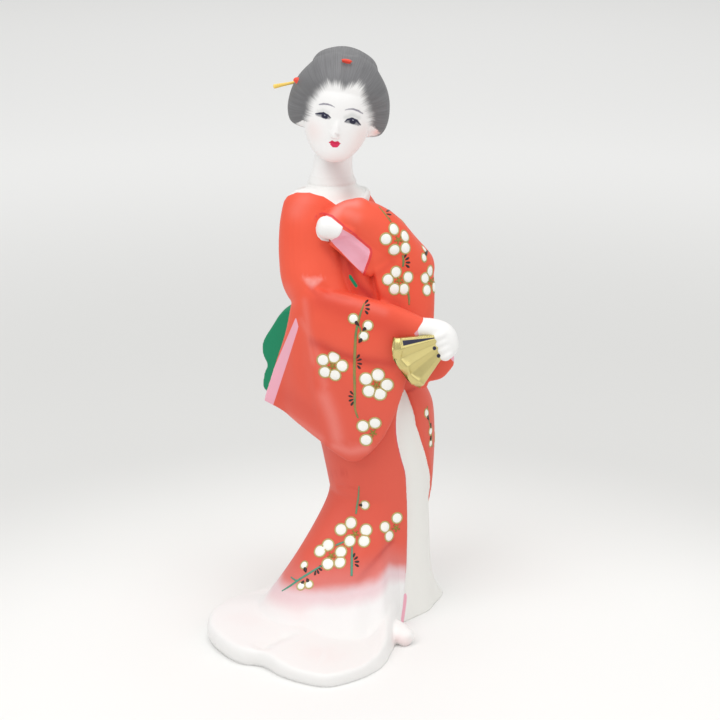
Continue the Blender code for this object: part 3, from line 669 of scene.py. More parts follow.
keep("pink_lining", np.clip(pink, -BORDER, BORDER))

# a crimson line along the edges of the raised sleeve and of the panel, above its lined foot
SLEEVE_EDGE = ((314.5, 219), (317.5, 214.6), (324, 213.4), (332.5, 216.2), (343.5, 226), (354.6, 234.4),
               (370.6, 248.2), (371.4, 252), (369.6, 259.2), (364, 274.5))
closest = np.full(len(spots), BORDER / PIXEL)
index, distance, share = near_path(view_places, SLEEVE_EDGE, BORDER / PIXEL)
closest[index] = distance
SLEEVE_LINE, PANEL_LINE = 0.45, 0.5           # half widths
sleeve_line = np.where((spots[:, 1] < -18) & (spots[:, 2] > 180), SLEEVE_LINE - closest * PIXEL, -BORDER)
panel_line = np.where(spots[:, 2] > 26, PANEL_LINE - np.abs(past_near_edge + PANEL_LINE), -BORDER)
panel_line = np.where((spots[:, 2] < 112) & (leg_reach + 3 > from_axis), panel_line, -BORDER)
keep("crimson_line", np.clip(np.maximum(sleeve_line, panel_line), -BORDER, BORDER))

# the sash, and the sliver of it that shows in the gap below the raised sleeve
SLIVER = ((349.6, 275.8), (352.2, 280), (356.2, 286))
sliver_spots = [on_clay(u, v)[0] for u, v in through(SLIVER, 9)]
index, distance, share = near_path(spots, sliver_spots, 3.0)
green = evened(border_of("sash"))
green[index] = np.maximum(green[index], 0.85 - distance)
keep("green_sash", np.clip(green, -BORDER, BORDER))

# the under-collar and throat: everything above the kimono's edge round the neck, but the raised sleeve
COLLAR_LINE = ((-180, 225), (-162, 223.2), (-156, 226.2), (-143, 228.8), (-125, 229.2), (-103, 227.4),
               (-91, 225.2), (-70, 220.5), (-45, 216), (-20, 219.5), (0, 224.5), (14, 226.6), (40, 226.4),
               (90, 227), (140, 227), (180, 225))
round_neck = np.degrees(np.arctan2(spots[:, 1] - NECK[0][2], spots[:, 0] - NECK[0][1]))
above_collar = spots[:, 2] - np.interp(round_neck, *zip(*COLLAR_LINE))
off_sleeve = evened(away["raised_sleeve"] - np.min([away["cloth"], away["collar"], away["skin"]], axis=0))
throat = np.where(spots[:, 2] > 210, np.minimum(above_collar, off_sleeve), -BORDER)
keep("white_collar", np.clip(throat, -BORDER, BORDER))

hand = np.where(spots[:, 2] > 205, -BORDER, evened(border_of("skin")))
head_and_neck = np.where(spots[:, 2] > NECK_BARE_FROM, BORDER, -BORDER)
keep("bisque", np.clip(np.max([hand, in_fist, head_and_neck], axis=0), -BORDER, BORDER))
keep("red_ornament", np.clip(evened(border_of("ornament"), 3), -BORDER, BORDER))

# the under-collar and the lining lie a little deeper than the cloth, whose edge stands up round them
stands = 0.5 * at(((-0.6, 0), (0.4, 1)), sleeve_line) - 0.5 * at(((-0.4, 0), (0.6, 1)), throat)
stands -= 0.9 * at(((-0.2, 0), (1.2, 1)), np.minimum(in_mouth, -in_fist))
spots += facing * np.where(spots[:, 2] < NECK_BARE_FROM, stands, 0)[:, None]
figure.data.vertices.foreach_set("co", spots.astype(np.float32).ravel())
figure.data.update()

# how far above the line where the vermilion has faded away: direction from the feet against height
FADE_LINE = ((-181, 19), (-150, 16.5), (-128, 17.5), (-110, 20), (-95, 22), (-84, 27), (-74, 24),
             (-60, 22), (50, 26), (120, 20), (179, 17))
keep("above_fade", np.clip(spots[:, 2] - np.interp(turn, *zip(*FADE_LINE)), -40, 40))

# airbrushed clouds: painted highlights, a lighter pink where the cloth catches the light; painted shade, a
# darker red in the folds, creases and gaps; and a blush on the white train, hands and foot
HIGHLIGHTS = (
    (((303, 200), (296, 210)), 5.0, 0.2), (((334, 214), (344, 205), (355, 203)), 3.2, 0.5),
    (((345, 211), (356, 217)), 3.0, 0.22), (((305, 302), (308, 330), (313, 362)), 2.2, 0.2),
    (((324, 396), (333, 420), (337, 438)), 3.6, 0.35), (((335, 446), (350, 451), (366, 448)), 2.6, 0.35),
    (((292, 300), (288, 290)), 4.0, 0.15), (((282, 411), (302, 425), (320, 438)), 3.0, 0.3),
    (((302, 322), (315, 347), (325, 386)), 2.2, 0.22), (((328, 296), (356, 303), (384, 312)), 2.2, 0.2),
)
# painted shade: darker red laid along the folds, creases and gaps, where shade falls
PAINTED_FOLD_SHADE = (
    (((392, 541), (380, 555), (366, 571), (351, 587)), 1.4, 0.7), (((330, 474), (347, 472)), 1.0, 0.3),
    (((322, 244), (336, 262), (346, 280)), 2.0, 0.3), (((340, 254), (352, 272), (366, 292)), 2.6, 0.6),
    (((366, 280), (384, 296), (400, 303)), 2.4, 0.3), (((392, 262), (380, 272), (370, 278)), 1.6, 0.25),
    (((312, 342), (333, 351), (355, 358), (392, 364)), 2.8, 0.45),
    (((320, 300), (332, 304), (350, 312)), 6.0, 0.4),
    (((311, 288), (319, 298), (328, 308)), 1.8, 0.4), (((268, 390), (290, 398), (312, 412)), 5.0, 0.15),
    (((366, 318), (384, 324), (400, 334)), 6.0, 0.35), (((349, 264), (357, 283), (370, 296)), 2.6, 0.9),
    (((340, 258), (346, 269), (353, 282), (363, 293)), 3.4, 0.6),
)
BLUSHES = (
    (((316, 653), (330, 655)), 8.0, 0.07), (((240, 618), (250, 621)), 7.0, 0.04),
    (((398, 640), (407, 644)), 3.5, 0.2), (((270, 598), (300, 612)), 6.0, 0.1),
)
# a painted highlight in the crook of the elbow, a soft-edged triangle
CROOK_HIGHLIGHT = ((303, 277), (313, 278.5), (324, 277.5), (318, 284), (311.5, 288.5), (306, 283))
crook_highlight = np.where(spots[:, 1] < -10, 0.45 + outline_distance(view_places, CROOK_HIGHLIGHT) / 4.0, 0)
keep("highlight", np.maximum(airbrush(HIGHLIGHTS), 0.85 * np.clip(crook_highlight, 0, 1)))
keep("painted_fold_shade", airbrush(PAINTED_FOLD_SHADE))
keep("blush", airbrush(BLUSHES))
# painted shade under the chin and down the right side of the throat
keep("throat_shade", airbrush(((((334, 167), (340, 177), (348, 190)), 5.5, 0.36),)))

# the hair is brushed outwards from the face: the hairline as drawn in the view, read as a distance
# from the middle of the forehead in each direction
HAIRLINE = ((305.5, 122.5), (308.8, 113.3), (311.6, 103.2), (315.2, 95.5), (321.8, 88.6), (329, 83.2),
            (338.8, 84.2), (344.2, 88.4), (351.8, 85.2), (358, 84), (362.4, 89), (364.6, 100),
            (368.4, 111), (370.6, 126))
FOREHEAD = (338.0, 112.0)
to_head = HEAD.inverted()
head_spots = (np.array(to_head.to_3x3()) @ spots.T).T + np.array(to_head.translation)


def on_face(u, v):
    """A place on the face in the head's own frame."""
    return to_head @ on_clay(u, v)[0]


brow_middle = on_face(*FOREHEAD)
polar_line = []
for u, v in HAIRLINE:
    spot = on_face(u, v) - brow_middle
    polar_line.append((math.degrees(math.atan2(spot.x, spot.z)), math.hypot(spot.x, spot.z)))
polar_line.sort()
LOW_ENDS = ((-180, 70), (polar_line[0][0] - 14, 60), *polar_line, (polar_line[-1][0] + 14, 60), (180, 70))
from_brow = head_spots[:, [0, 2]] - np.array((brow_middle.x, brow_middle.z))
brow_turn = np.degrees(np.arctan2(from_brow[:, 0], from_brow[:, 1]))
line_here = np.interp(brow_turn, [row[0] for row in LOW_ENDS], [row[1] for row in LOW_ENDS])
past_hairline = np.linalg.norm(from_brow, axis=1) - line_here
past_hairline = np.maximum(past_hairline, 1.5 * (head_spots[:, 1] - 3))
keep("past_hairline", np.clip(past_hairline, -12, 12))
hair_side = np.maximum(border_of("hair"), np.where(head_spots[:, 1] < 0, head_spots[:, 2] + 7.0, -BORDER))
keep("hair_side", np.clip(hair_side, -BORDER, BORDER))


def pigment(code):
    """An sRGB hex colour as linear light."""
    parts = [int(code[i:i + 2], 16) / 255 for i in (1, 3, 5)]
    return (*(c / 12.92 if c <= 0.04045 else ((c + 0.055) / 1.055) ** 2.4 for c in parts), 1.0)


def add(tree, kind, sockets, out=0, **settings):
    """Add a node, set it, fill or link its sockets, and give back one of its outputs."""
    node = tree.nodes.new("ShaderNode" + kind)
    for key, value in settings.items():
        setattr(node, key, value)
    for key, value in sockets.items():
        if isinstance(value, bpy.types.NodeSocket):
            tree.links.new(value, node.inputs[key])
        else:
            node.inputs[key].default_value = value
    return node.outputs[out]


def new_material(name):
    """A material with an empty tree but for its output."""
    material = bpy.data.materials.new(name)
    material.use_nodes = True
    tree = material.node_tree
    tree.nodes.clear()
    tree.nodes.new("ShaderNodeOutputMaterial")
    return material, tree


def coat(tree, colour, roughness, normal, **more):
    """The painted surface itself, linked to the output."""
    sockets = {"Base Color": colour, "Roughness": roughness, "Normal": normal, **more}
    shader = add(tree, "BsdfPrincipled", sockets)
    output = next(n for n in tree.nodes if n.type == "OUTPUT_MATERIAL")
    tree.links.new(shader, output.inputs["Surface"])


def painted_up_to(tree, name, soft=0.14):
    """Full paint on the near side of a border, none past it."""
    value = add(tree, "Attribute", {}, out="Fac", attribute_name=name)
    return add(tree, "MapRange", {0: value, 1: -soft, 2: soft}, interpolation_type="SMOOTHSTEP")


def lay(tree, under, colour, cover):
    return add(tree, "Mix", {0: cover, 6: under, 7: colour}, out=2, data_type="RGBA")


def clay_grain(tree, strength, grain=0.35):
    """Bump of the sanded clay under the paint: grains of about a third of a millimetre."""
    place = add(tree, "TexCoord", {}, out="Object")
    fine = add(tree, "TexNoise", {"Vector": place, "Scale": 1000 / grain, "Detail": 3.0})
    broad = add(tree, "TexNoise", {"Vector": place, "Scale": 1000 / 9.0, "Detail": 2.0})
    height = add(tree, "Math", {0: broad, 1: 4.0, 2: fine}, operation="MULTIPLY_ADD")
    return add(tree, "Bump", {"Strength": strength, "Distance": 0.00012, "Height": height})


# glue-bound matt pigment on bisque: powdery, with a slight satin where it was burnished
kimono, tree = new_material("matt_pigment_on_bisque")
place = add(tree, "TexCoord", {}, out="Object")
cloudy = add(tree, "TexNoise", {"Vector": place, "Scale": 1000 / 25.0, "Detail": 3.0})
speckle = add(tree, "TexNoise", {"Vector": place, "Scale": 1000 / 0.6, "Detail": 2.0})
vermilion = lay(tree, pigment("#F0563A"), pigment("#F56349"), cloudy)
# painted shade: the vermilion turns darker and duller towards the hem, where the lower body gets less light
level = add(tree, "SeparateXYZ", {0: place}, out="Z")
painted_low_shade = add(tree, "MapRange", {0: level, 1: 0.2, 2: 0.09}, interpolation_type="SMOOTHSTEP")
vermilion = lay(tree, vermilion, pigment("#E15E4C"), painted_low_shade)
# painted highlights of a lighter pink, and painted shade of a darker red in the folds and creases
for name, code in (("highlight", "#F9A39B"), ("painted_fold_shade", "#C02E28")):
    cloud = add(tree, "Attribute", {}, out="Fac", attribute_name=name)
    vermilion = lay(tree, vermilion, pigment(code), cloud)
# the sprayed fade: white, a breath of rose, then vermilion
above = add(tree, "Attribute", {}, out="Fac", attribute_name="above_fade")
spray = add(tree, "TexNoise", {"Vector": place, "Scale": 1000 / 14.0, "Detail": 4.0})
drifted = add(tree, "Math", {0: spray, 1: 3.0, 2: above}, operation="MULTIPLY_ADD")
height_in_fade = add(tree, "MapRange", {0: drifted, 1: -11.0, 2: 24.0})
fade = tree.nodes.new("ShaderNodeValToRGB")
fade.color_ramp.interpolation = "EASE"
fade.color_ramp.elements.remove(fade.color_ramp.elements[1])
fade.color_ramp.elements[0].color = pigment("#F0EFEE")
for position, code in ((0.25, "#F0EEEE"), (0.45, "#E8CED2"), (0.65, "#DD7A73")):
    fade.color_ramp.elements.new(position).color = pigment(code)
tree.links.new(height_in_fade, fade.inputs[0])
full_red = add(tree, "MapRange", {0: height_in_fade, 1: 0.55, 2: 1.0}, interpolation_type="SMOOTHSTEP")
paint = lay(tree, fade.outputs[0], vermilion, full_red)
# the flat colours, in the order in which they are laid over it, and over them all the clouds of painted shade
# on the throat and of blush
paint = lay(tree, paint, pigment("#DE3A4A"), painted_up_to(tree, "crimson_line", 0.5))
for name, code in (("under_robe", "#EDECE8"), ("pink_lining", "#F2B0C2"), ("green_sash", "#008A60"),
                   ("white_collar", "#F4F3F1"), ("bisque", "#F5F4F3")):
    paint = lay(tree, paint, pigment(code), painted_up_to(tree, name))
for name, code in (("throat_shade", "#A08C8C"), ("blush", "#F08C8C")):
    paint = lay(tree, paint, pigment(code), add(tree, "Attribute", {}, out="Fac", attribute_name=name))
dusty = add(tree, "MapRange", {0: speckle, 1: 0.2, 2: 0.8, 3: 0.46, 4: 0.58})
coat(tree, paint, dusty, clay_grain(tree, 0.35), **{"Specular IOR Level": 0.3, "Sheen Weight": 0.05,
                                                   "Sheen Roughness": 0.4})

# bisque of the head: white glue paint, hair brushed on in fine grey strokes, face drawn by hand
HEAD_AXES = HEAD_TURN.inverted().to_3x3()
FACE_SPOT = HEAD_AXES @ (-FEET_FROM_ORIGIN - HEAD_MIDDLE)
head_paint, tree = new_material("painted_bisque_head")
place = add(tree, "TexCoord", {}, out="Object")
on_head_place = add(tree, "Mapping", {"Vector": place, "Location": FACE_SPOT,
                                      "Rotation": HEAD_AXES.to_euler(), "Scale": (1 / METRES,) * 3})
head_x, head_y, head_z = (add(tree, "SeparateXYZ", {0: on_head_place}, out=axis) for axis in "XYZ")
facing_us = add(tree, "Math", {0: head_y, 1: 0.0}, operation="LESS_THAN")
wobble = add(tree, "TexNoise", {"Vector": on_head_place, "Scale": 1.3, "Detail": 2.0})
flat_place = add(tree, "CombineXYZ", {0: head_x, 2: head_z})


def brush_stroke(tree, under, colour, line, widths, soft=0.25, strength=1.0):
    """One stroke on the face, drawn in the view: a line of places and its half width at each."""
    spots_on_face = [on_face(u, v) for u, v in line]
    nearest_yet = None
    for a, b, wide_a, wide_b in zip(spots_on_face, spots_on_face[1:], widths, widths[1:]):
        start, run = Vector((a.x, 0, a.z)), Vector((b.x - a.x, 0, b.z - a.z))
        from_start = add(tree, "VectorMath", {0: flat_place, 1: start}, operation="SUBTRACT")
        share = add(tree, "VectorMath", {0: from_start, 1: run / run.length_squared}, out="Value",
                    operation="DOT_PRODUCT")
        share = add(tree, "Math", {0: share, 1: 1.0}, operation="MULTIPLY", use_clamp=True)
        along = add(tree, "VectorMath", {0: run, "Scale": share}, operation="SCALE")
        off = add(tree, "VectorMath", {0: from_start, 1: along}, operation="SUBTRACT")
        off = add(tree, "VectorMath", {0: off}, out="Value", operation="LENGTH")
        width = add(tree, "Math", {0: share, 1: wide_b - wide_a, 2: wide_a}, operation="MULTIPLY_ADD")
        off = add(tree, "Math", {0: off, 1: width}, operation="SUBTRACT")
        nearest_yet = off if nearest_yet is None else add(tree, "Math", {0: nearest_yet, 1: off},
                                                         operation="MINIMUM")
    frayed = add(tree, "Math", {0: wobble, 1: 0.3, 2: nearest_yet}, operation="MULTIPLY_ADD")
    cover = add(tree, "MapRange", {0: frayed, 1: 0.15 + soft, 2: 0.15 - soft, 3: 0.0, 4: strength},
                interpolation_type="SMOOTHSTEP")
    cover = add(tree, "Math", {0: cover, 1: facing_us}, operation="MULTIPLY")
    return lay(tree, under, colour, cover)


cloudy = add(tree, "TexNoise", {"Vector": on_head_place, "Scale": 0.12, "Detail": 2.0})
paint = lay(tree, pigment("#F7F6F5"), pigment("#FAF9F9"), cloudy)

# clouds of blush: place in the view, radius in millimetres, strength
for (u, v), radius, strength in (((313, 131), 4.5, 0.14), ((362, 136), 5.0, 0.16), ((354, 150), 4.5, 0.1),
                                 ((334, 162), 4.5, 0.12), ((378, 131.5), 2.6, 0.5)):
    spot = on_face(u, v)
    off = add(tree, "VectorMath", {0: on_head_place, 1: spot}, out="Value", operation="DISTANCE")
    cover = add(tree, "MapRange", {0: off, 1: 2 * radius, 2: 0.0, 3: 0.0, 4: strength},
                interpolation_type="SMOOTHSTEP")
    paint = lay(tree, paint, pigment("#F7A090"), cover)

# the same painted shade under the chin, on this side of the seam between the two materials
throat_shade = add(tree, "Attribute", {}, out="Fac", attribute_name="throat_shade")
paint = lay(tree, paint, pigment("#A08C8C"), throat_shade)

# eye shade, lids, irises with a painted glint of light in each, and brows, a painted shade under the nose,
# and lips, in the order a face painter lays them
FACE_STROKES = (
    ("#8F9A94", ((345.5, 117.5), (352, 115.3), (358.5, 118)), (0.9, 1.3, 1.0), 1.0, 0.28),
    ("#8F9A94", ((318, 111.5), (323, 110.6), (328, 112.8)), (0.7, 1.0, 0.8), 0.9, 0.22),
    ("#63656F", ((316.6, 114.6), (322.6, 115.6), (329, 118)), (0.5, 1.15, 0.6), 0.5, 0.75),
    ("#63656F", ((346, 121.8), (352.3, 121.6), (358.8, 124.6)), (0.5, 1.2, 0.6), 0.5, 0.8),
    ("#20203A", ((323.6, 116.0), (325.6, 116.8)), (1.15, 1.15), 0.35, 1.0),
    ("#20203A", ((351.8, 121.2), (353.6, 122.0)), (1.2, 1.2), 0.35, 1.0),
    ("#23233F", ((315.6, 113.6), (319, 113.5), (323.5, 113.2), (328, 115.4), (330.8, 118)),
     (0.2, 0.5, 0.6, 0.5, 0.15), 0.22, 1.0),
    ("#23233F", ((344.6, 121.9), (347.5, 119.6), (352, 118.6), (356.6, 120.6), (360.6, 125)),
     (0.15, 0.5, 0.65, 0.6, 0.2), 0.22, 1.0),
    # painted highlights: a glint of light in each iris
    ("#DDE3EE", ((324.6, 115.1), (325.0, 115.3)), (0.16, 0.16), 0.15, 0.7),
    ("#DDE3EE", ((352.8, 120.1), (353.2, 120.3)), (0.18, 0.18), 0.15, 0.8),
    ("#5A5470", ((319.4, 104.6), (323.2, 103.9), (327.4, 104.2), (331.4, 105.4), (334.6, 107.2)),
     (0.25, 0.42, 0.42, 0.3, 0.1), 0.3, 0.8),
    ("#5A5470", ((345, 110), (349, 109), (353.4, 109.1), (358, 110.7), (362.8, 113.6)),
     (0.1, 0.3, 0.42, 0.45, 0.2), 0.3, 0.8),
    # painted shade under the nose
    ("#B59C98", ((335.5, 133.8), (337.8, 135.3)), (0.5, 0.7), 0.7, 0.4),
    ("#D7194B", ((329.4, 142.6), (332.2, 142.2), (334.6, 143.3)), (0.3, 0.9, 0.75), 0.2, 1.0),
    ("#D7194B", ((334.6, 143.3), (337.4, 142.7), (339.8, 143.6)), (0.75, 0.85, 0.3), 0.2, 1.0),
    ("#DF2A5A", ((331.6, 144.2), (333.6, 145.6), (336.4, 145.7), (338.4, 144.6)),
     (0.7, 0.95, 0.95, 0.6), 0.2, 1.0),
)
for code, line, widths, soft, strength in FACE_STROKES:
    paint = brush_stroke(tree, paint, pigment(code), line, widths, soft, strength)

# hair: strokes of a fine brush, a third of a millimetre apart, running outwards from the face
HAIR_MIDDLE = brow_middle + Vector((0, 0, -2))
across = add(tree, "Math", {0: head_x, 1: HAIR_MIDDLE.x}, operation="SUBTRACT")
upward = add(tree, "Math", {0: head_z, 1: HAIR_MIDDLE.z}, operation="SUBTRACT")
way = add(tree, "Math", {0: across, 1: upward}, operation="ARCTAN2")
reach = add(tree, "VectorMath", {0: add(tree, "CombineXYZ", {0: across, 1: upward})}, out="Value",
            operation="LENGTH")
# coordinates round the face, out from it and in depth, to stretch a noise into strands or locks
combing = add(tree, "CombineXYZ", {0: way, 1: reach, 2: head_y})
combed = add(tree, "VectorMath", {0: combing, 1: (20.0 / 0.36, 0.07, 0.05)}, operation="MULTIPLY")
strands = add(tree, "TexNoise", {"Vector": combed, "Scale": 1.0, "Detail": 3.0, "Roughness": 0.65})
locks = add(tree, "VectorMath", {0: combing, 1: (20.0 / 2.6, 0.05, 0.06)}, operation="MULTIPLY")
locks = add(tree, "TexNoise", {"Vector": locks, "Scale": 1.0, "Detail": 2.0})
grey = lay(tree, pigment("#3F3E3F"), pigment("#97979A"), strands)
locks_show = add(tree, "Math", {0: locks, 1: 0.6}, operation="MULTIPLY")
grey = lay(tree, grey, pigment("#6E6E70"), locks_show)
past = add(tree, "Attribute", {}, out="Fac", attribute_name="past_hairline")
ragged = add(tree, "Math", {0: strands, 1: 7.0, 2: past}, operation="MULTIPLY_ADD")
ragged = add(tree, "Math", {0: locks, 1: 3.0, 2: ragged}, operation="MULTIPLY_ADD")
brushed = add(tree, "MapRange", {0: ragged, 1: 2.6, 2: 7.6}, interpolation_type="SMOOTHSTEP")
on_hair = add(tree, "Math", {0: brushed, 1: painted_up_to(tree, "hair_side", 0.3)}, operation="MULTIPLY")
paint = lay(tree, paint, grey, on_hair)
paint = lay(tree, paint, pigment("#F0503C"), painted_up_to(tree, "red_ornament"))
strand_height = add(tree, "Math", {0: strands, 1: on_hair}, operation="MULTIPLY")
relief = add(tree, "Bump", {"Strength": 0.5, "Distance": 0.00015, "Height": strand_height,
                            "Normal": clay_grain(tree, 0.2)})
coat(tree, paint, 0.5, relief, **{"Specular IOR Level": 0.4})

figure.data.materials.clear()
for material in (kimono, head_paint):
    figure.data.materials.append(material)
HEAD_FROM = 236.0
of_head = (border_of("skin", "hair", "ornament") > -0.5) & (spots[:, 2] > HEAD_FROM - 0.5)
of_head |= spots[:, 2] > HEAD_FROM + 6
for face in figure.data.polygons:
    face.material_index = int(all(of_head[i] for i in face.vertices))
figure.data.shade_smooth()
figure.data.transform(TO_FRAME)
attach(figure, "root")
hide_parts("figure")

# The blossoms, painted in relief. Each petal of the real ones is a drop of thick white shell paint that
# dries domed, rimmed with a fine gold line. All are laid on the clay where the painter's view has them.
GOLD_LINE = (0.4, 0.3)       # half width and half height of the rim round each petal
DOME = 0.55


def patch(spot, out):
    """A place on the clay with the directions to its right, up it and out of it."""
    right = Vector((0, 0, 1)).cross(out).normalized()
    return spot, right, out.cross(right), out


def drape(verts, ground_patch):
    """Lay points on the clay: their x and y run along it from the patch's place, z stands off it."""
    spot, right, up, out = ground_patch
    for vert in verts:
        ground, normal, index, distance = clay.find_nearest(spot + right * vert.co.x + up * vert.co.y)
        vert.co = ground + normal * vert.co.z


def petal(ground_patch, radius):
    """The domed drop of white, and the gold rim round it."""
    white = bmesh.new()
    bmesh.ops.create_uvsphere(white, u_segments=20, v_segments=12, radius=1.0)
    bmesh.ops.scale(white, vec=(radius, radius, DOME), verts=white.verts)
    drape(white.verts, ground_patch)
    rim = bmesh.new()
    section = bmesh.ops.create_circle(rim, segments=10, radius=1.0)["verts"]
    bmesh.ops.rotate(rim, verts=section, matrix=Matrix.Rotation(math.pi / 2, 3, "X"))
    bmesh.ops.scale(rim, vec=(GOLD_LINE[0], 1, GOLD_LINE[1]), verts=section)
    bmesh.ops.translate(rim, verts=section, vec=(radius + 0.3, 0, 0))
    bmesh.ops.spin(rim, geom=rim.verts[:] + rim.edges[:], axis=(0, 0, 1), cent=(0, 0, 0), angle=math.tau,
                   steps=28, use_merge=True)
    drape(rim.verts, ground_patch)
    return white, rim


def heart(ground_patch):
    """The low dome in the middle of a blossom."""
    bm = bmesh.new()
    bmesh.ops.create_uvsphere(bm, u_segments=14, v_segments=8, radius=1.0)
    bmesh.ops.scale(bm, vec=(1.1, 1.1, 0.4), verts=bm.verts)
    drape(bm.verts, ground_patch)
    return bm


def trail(line, height=0.2):
    """A raised brush line: (u, v, half width) at places in the view, tapered as given."""
    length = sum(math.dist(a[:2], b[:2]) for a, b in zip(line, line[1:]))
    laid = []
    for u, v, wide in through(line, max(6, int(length / 1.4))):
        spot, normal = on_clay(u, v)
        if spot is not None:
            laid.append((spot, normal, wide))
    if len(laid) < 3:
        return bmesh.new()
    rings = []
    for k, (spot, normal, wide) in enumerate(laid):
        along = laid[min(k + 1, len(laid) - 1)][0] - laid[max(k - 1, 0)][0]
        across = along.cross(normal).normalized()
        rings.append([spot + across * wide * math.cos(a) + normal * height * math.sin(a)
                      for a in (math.tau * q / 10 for q in range(10))])
    return loft(rings)


# centre of each blossom in the view, its petals and their radius
BLOSSOMS = (
    ((398.2, 240), ((394, 229), (405, 236), (405.5, 248), (394.5, 250), (386, 239)), 2.75),
    ((399, 280.5), ((396, 272), (408, 277), (404, 289), (394.5, 289), (388, 279.5)), 2.65),
    ((431, 281), ((430, 271), (425, 278), (427, 290), (434.5, 274), (434, 287)), 2.6),
    ((332.4, 366), ((334, 357), (342, 366), (335, 375), (325, 372), (323, 360)), 2.75),
    ((376.4, 385), ((378, 375), (387, 385), (380, 394), (369, 391), (366, 379)), 3.0),
    ((373, 433), ((375, 423), (363, 426), (366, 440)), 2.8),
    ((355, 534), ((351, 523), (366, 530), (364, 541), (350, 541), (341, 529.5)), 2.9),
    ((396, 528), ((397, 518), (385, 527), (389, 536)), 2.6),
    ((331.4, 556), ((328, 545), (341, 552), (340, 562.5), (328, 564), (320, 551)), 2.9),
)
# single buds: place, radius, and where the dark calyx sits
BUDS = (
    ((424, 249), 1.8, (426, 244)), ((424, 257.5), 2.0, (426.5, 252.5)), ((353.4, 318.6), 2.2, (357.5, 324)),
    ((368, 325.5), 2.2, (364, 329.5)), ((363.7, 336), 2.2, (360, 341)), ((365, 505), 2.1, (360.5, 505)),
    ((304, 565), 1.9, (305.5, 570.5)), ((301, 586), 1.9, (303, 582)), ((309, 584.5), 1.9, (307.5, 580)),
    ((426.5, 413), 1.9, (428, 418)), ((430.5, 431), 1.9, (430.5, 425)), ((430.5, 443), 1.7, (430.5, 438)),
)
petals, stamens, calyxes = [], [], []
for (u, v), places_of, radius in BLOSSOMS:
    grounds = [on_clay(*place) for place in places_of]
    petals += [petal(patch(*ground), radius) for ground in grounds if ground[0] is not None]
    stamens.append(heart(patch(*on_clay(u, v))))
    for k in range(5):
        a = math.tau * (k + 0.3) / 5
        stamens.append(trail(((u, v, 0.8), (u + 1.6 * math.cos(a), v + 1.6 * math.sin(a), 0.35),
                              (u + 2.8 * math.cos(a), v + 2.8 * math.sin(a), 0.4),
                              (u + 3.8 * math.cos(a), v + 3.8 * math.sin(a), 0.6)), 0.35))
for (u, v), radius, (cu, cv) in BUDS:
    petals.append(petal(patch(*on_clay(u, v)), radius))
    calyxes.append(trail(((cu + 0.35 * (cu - u), cv + 0.35 * (cv - v), 0.25), (cu, cv, 0.9),
                          (cu + 0.35 * (u - cu), cv + 0.35 * (v - cv), 1.1),
                          (cu + 0.55 * (u - cu), cv + 0.55 * (v - cv), 0.5)), 0.45))

# plainer ones where the photograph doesn't reach: turn round the doll, height, turn of the petals
PETALS_OUT, FAR_PETAL = 4.9, 2.7              # distance of the petals' middles, and their radius
FAR_BLOSSOMS = ((60, 205, 0), (75, 60, 20), (112, 45, 50), (138, 66, 10), (160, 38, 40), (15, 92, 30),
                (95, 90, 10))
for turn_here, height, twist in FAR_BLOSSOMS:
    way = Vector((math.cos(math.radians(turn_here)), math.sin(math.radians(turn_here)), 0))
    start = FEET + way * TALL + Vector((0, 0, height))
    middle = patch(*clay.ray_cast(start, -way)[:2])
    spot, right, up, out = middle
    for k in range(5):
        a = math.radians(twist + 72 * k)
        aim = spot + (right * math.cos(a) + up * math.sin(a)) * PETALS_OUT
        petals.append(petal(patch(*clay.find_nearest(aim)[:2]), FAR_PETAL))
    stamens.append(heart(middle))

# stems of the branches, with their half widths
STEMS = (
    ((379, 207, 0.25), (385, 214, 0.5), (391, 222, 0.45)),
    ((402.6, 255, 0.5), (403.5, 261, 0.6), (403, 266.5, 0.5)),
    ((407.7, 291.5, 0.5), (409, 298, 0.6), (409, 305, 0.35)),
    ((364.5, 303, 0.3), (361, 312, 0.5), (358.2, 322, 0.65), (356, 333, 0.65), (355, 349, 0.75),
     (354.4, 371, 0.75), (354.8, 390, 0.7), (355, 408, 0.6), (358, 418, 0.4)),
    ((357.5, 324, 0.3), (360.5, 330, 0.4), (360, 340, 0.3)),
    ((359, 486, 0.3), (358.5, 496, 0.5), (357, 506, 0.6), (356, 514, 0.5)),
    ((352, 547, 0.5), (351.8, 561, 0.7), (351.6, 576, 0.6)),
    ((344, 541.6, 0.4), (340, 543.5, 0.6), (335.5, 545.5, 0.4)),
    ((322, 565.5, 0.4), (312, 571.5, 0.6), (300, 579, 0.65), (290, 586, 0.6), (282, 591, 0.35)),
    ((291, 577, 0.3), (295, 580, 0.45), (299, 580.5, 0.35)),
    ((427, 406, 0.3), (429, 421, 0.4), (431.5, 436, 0.4), (432, 447, 0.3)),
)
stems = [trail(line, 0.3) for line in STEMS]

# bunches of short dark strokes beside the stems: root in the view and the way they fan out
STROKES_A_BUNCH = 4
BUNCHES = ((385.5, 213, -10), (404.5, 261.5, -15), (418.5, 238, -45), (364.5, 307, 0), (356.5, 362, -5),
           (354, 398, 175), (353.5, 561, -20), (317, 568, 50))
dashes = []
for u, v, way in BUNCHES:
    for k in range(STROKES_A_BUNCH):
        a = math.radians(way + 34 * (k - 1.5))
        du, dv = math.cos(a), math.sin(a)
        ru = u - 1.0 * (k - 1.5) * math.sin(math.radians(way))
        rv = v + 1.9 * (k - 1.5) * math.cos(math.radians(way))
        dashes.append(trail(((ru + du, rv + dv, 0.25), (ru + 2.8 * du, rv + 2.8 * dv, 0.58),
                             (ru + 4.6 * du, rv + 4.6 * dv, 0.6), (ru + 5.6 * du, rv + 5.6 * dv, 0.25)), 0.2))

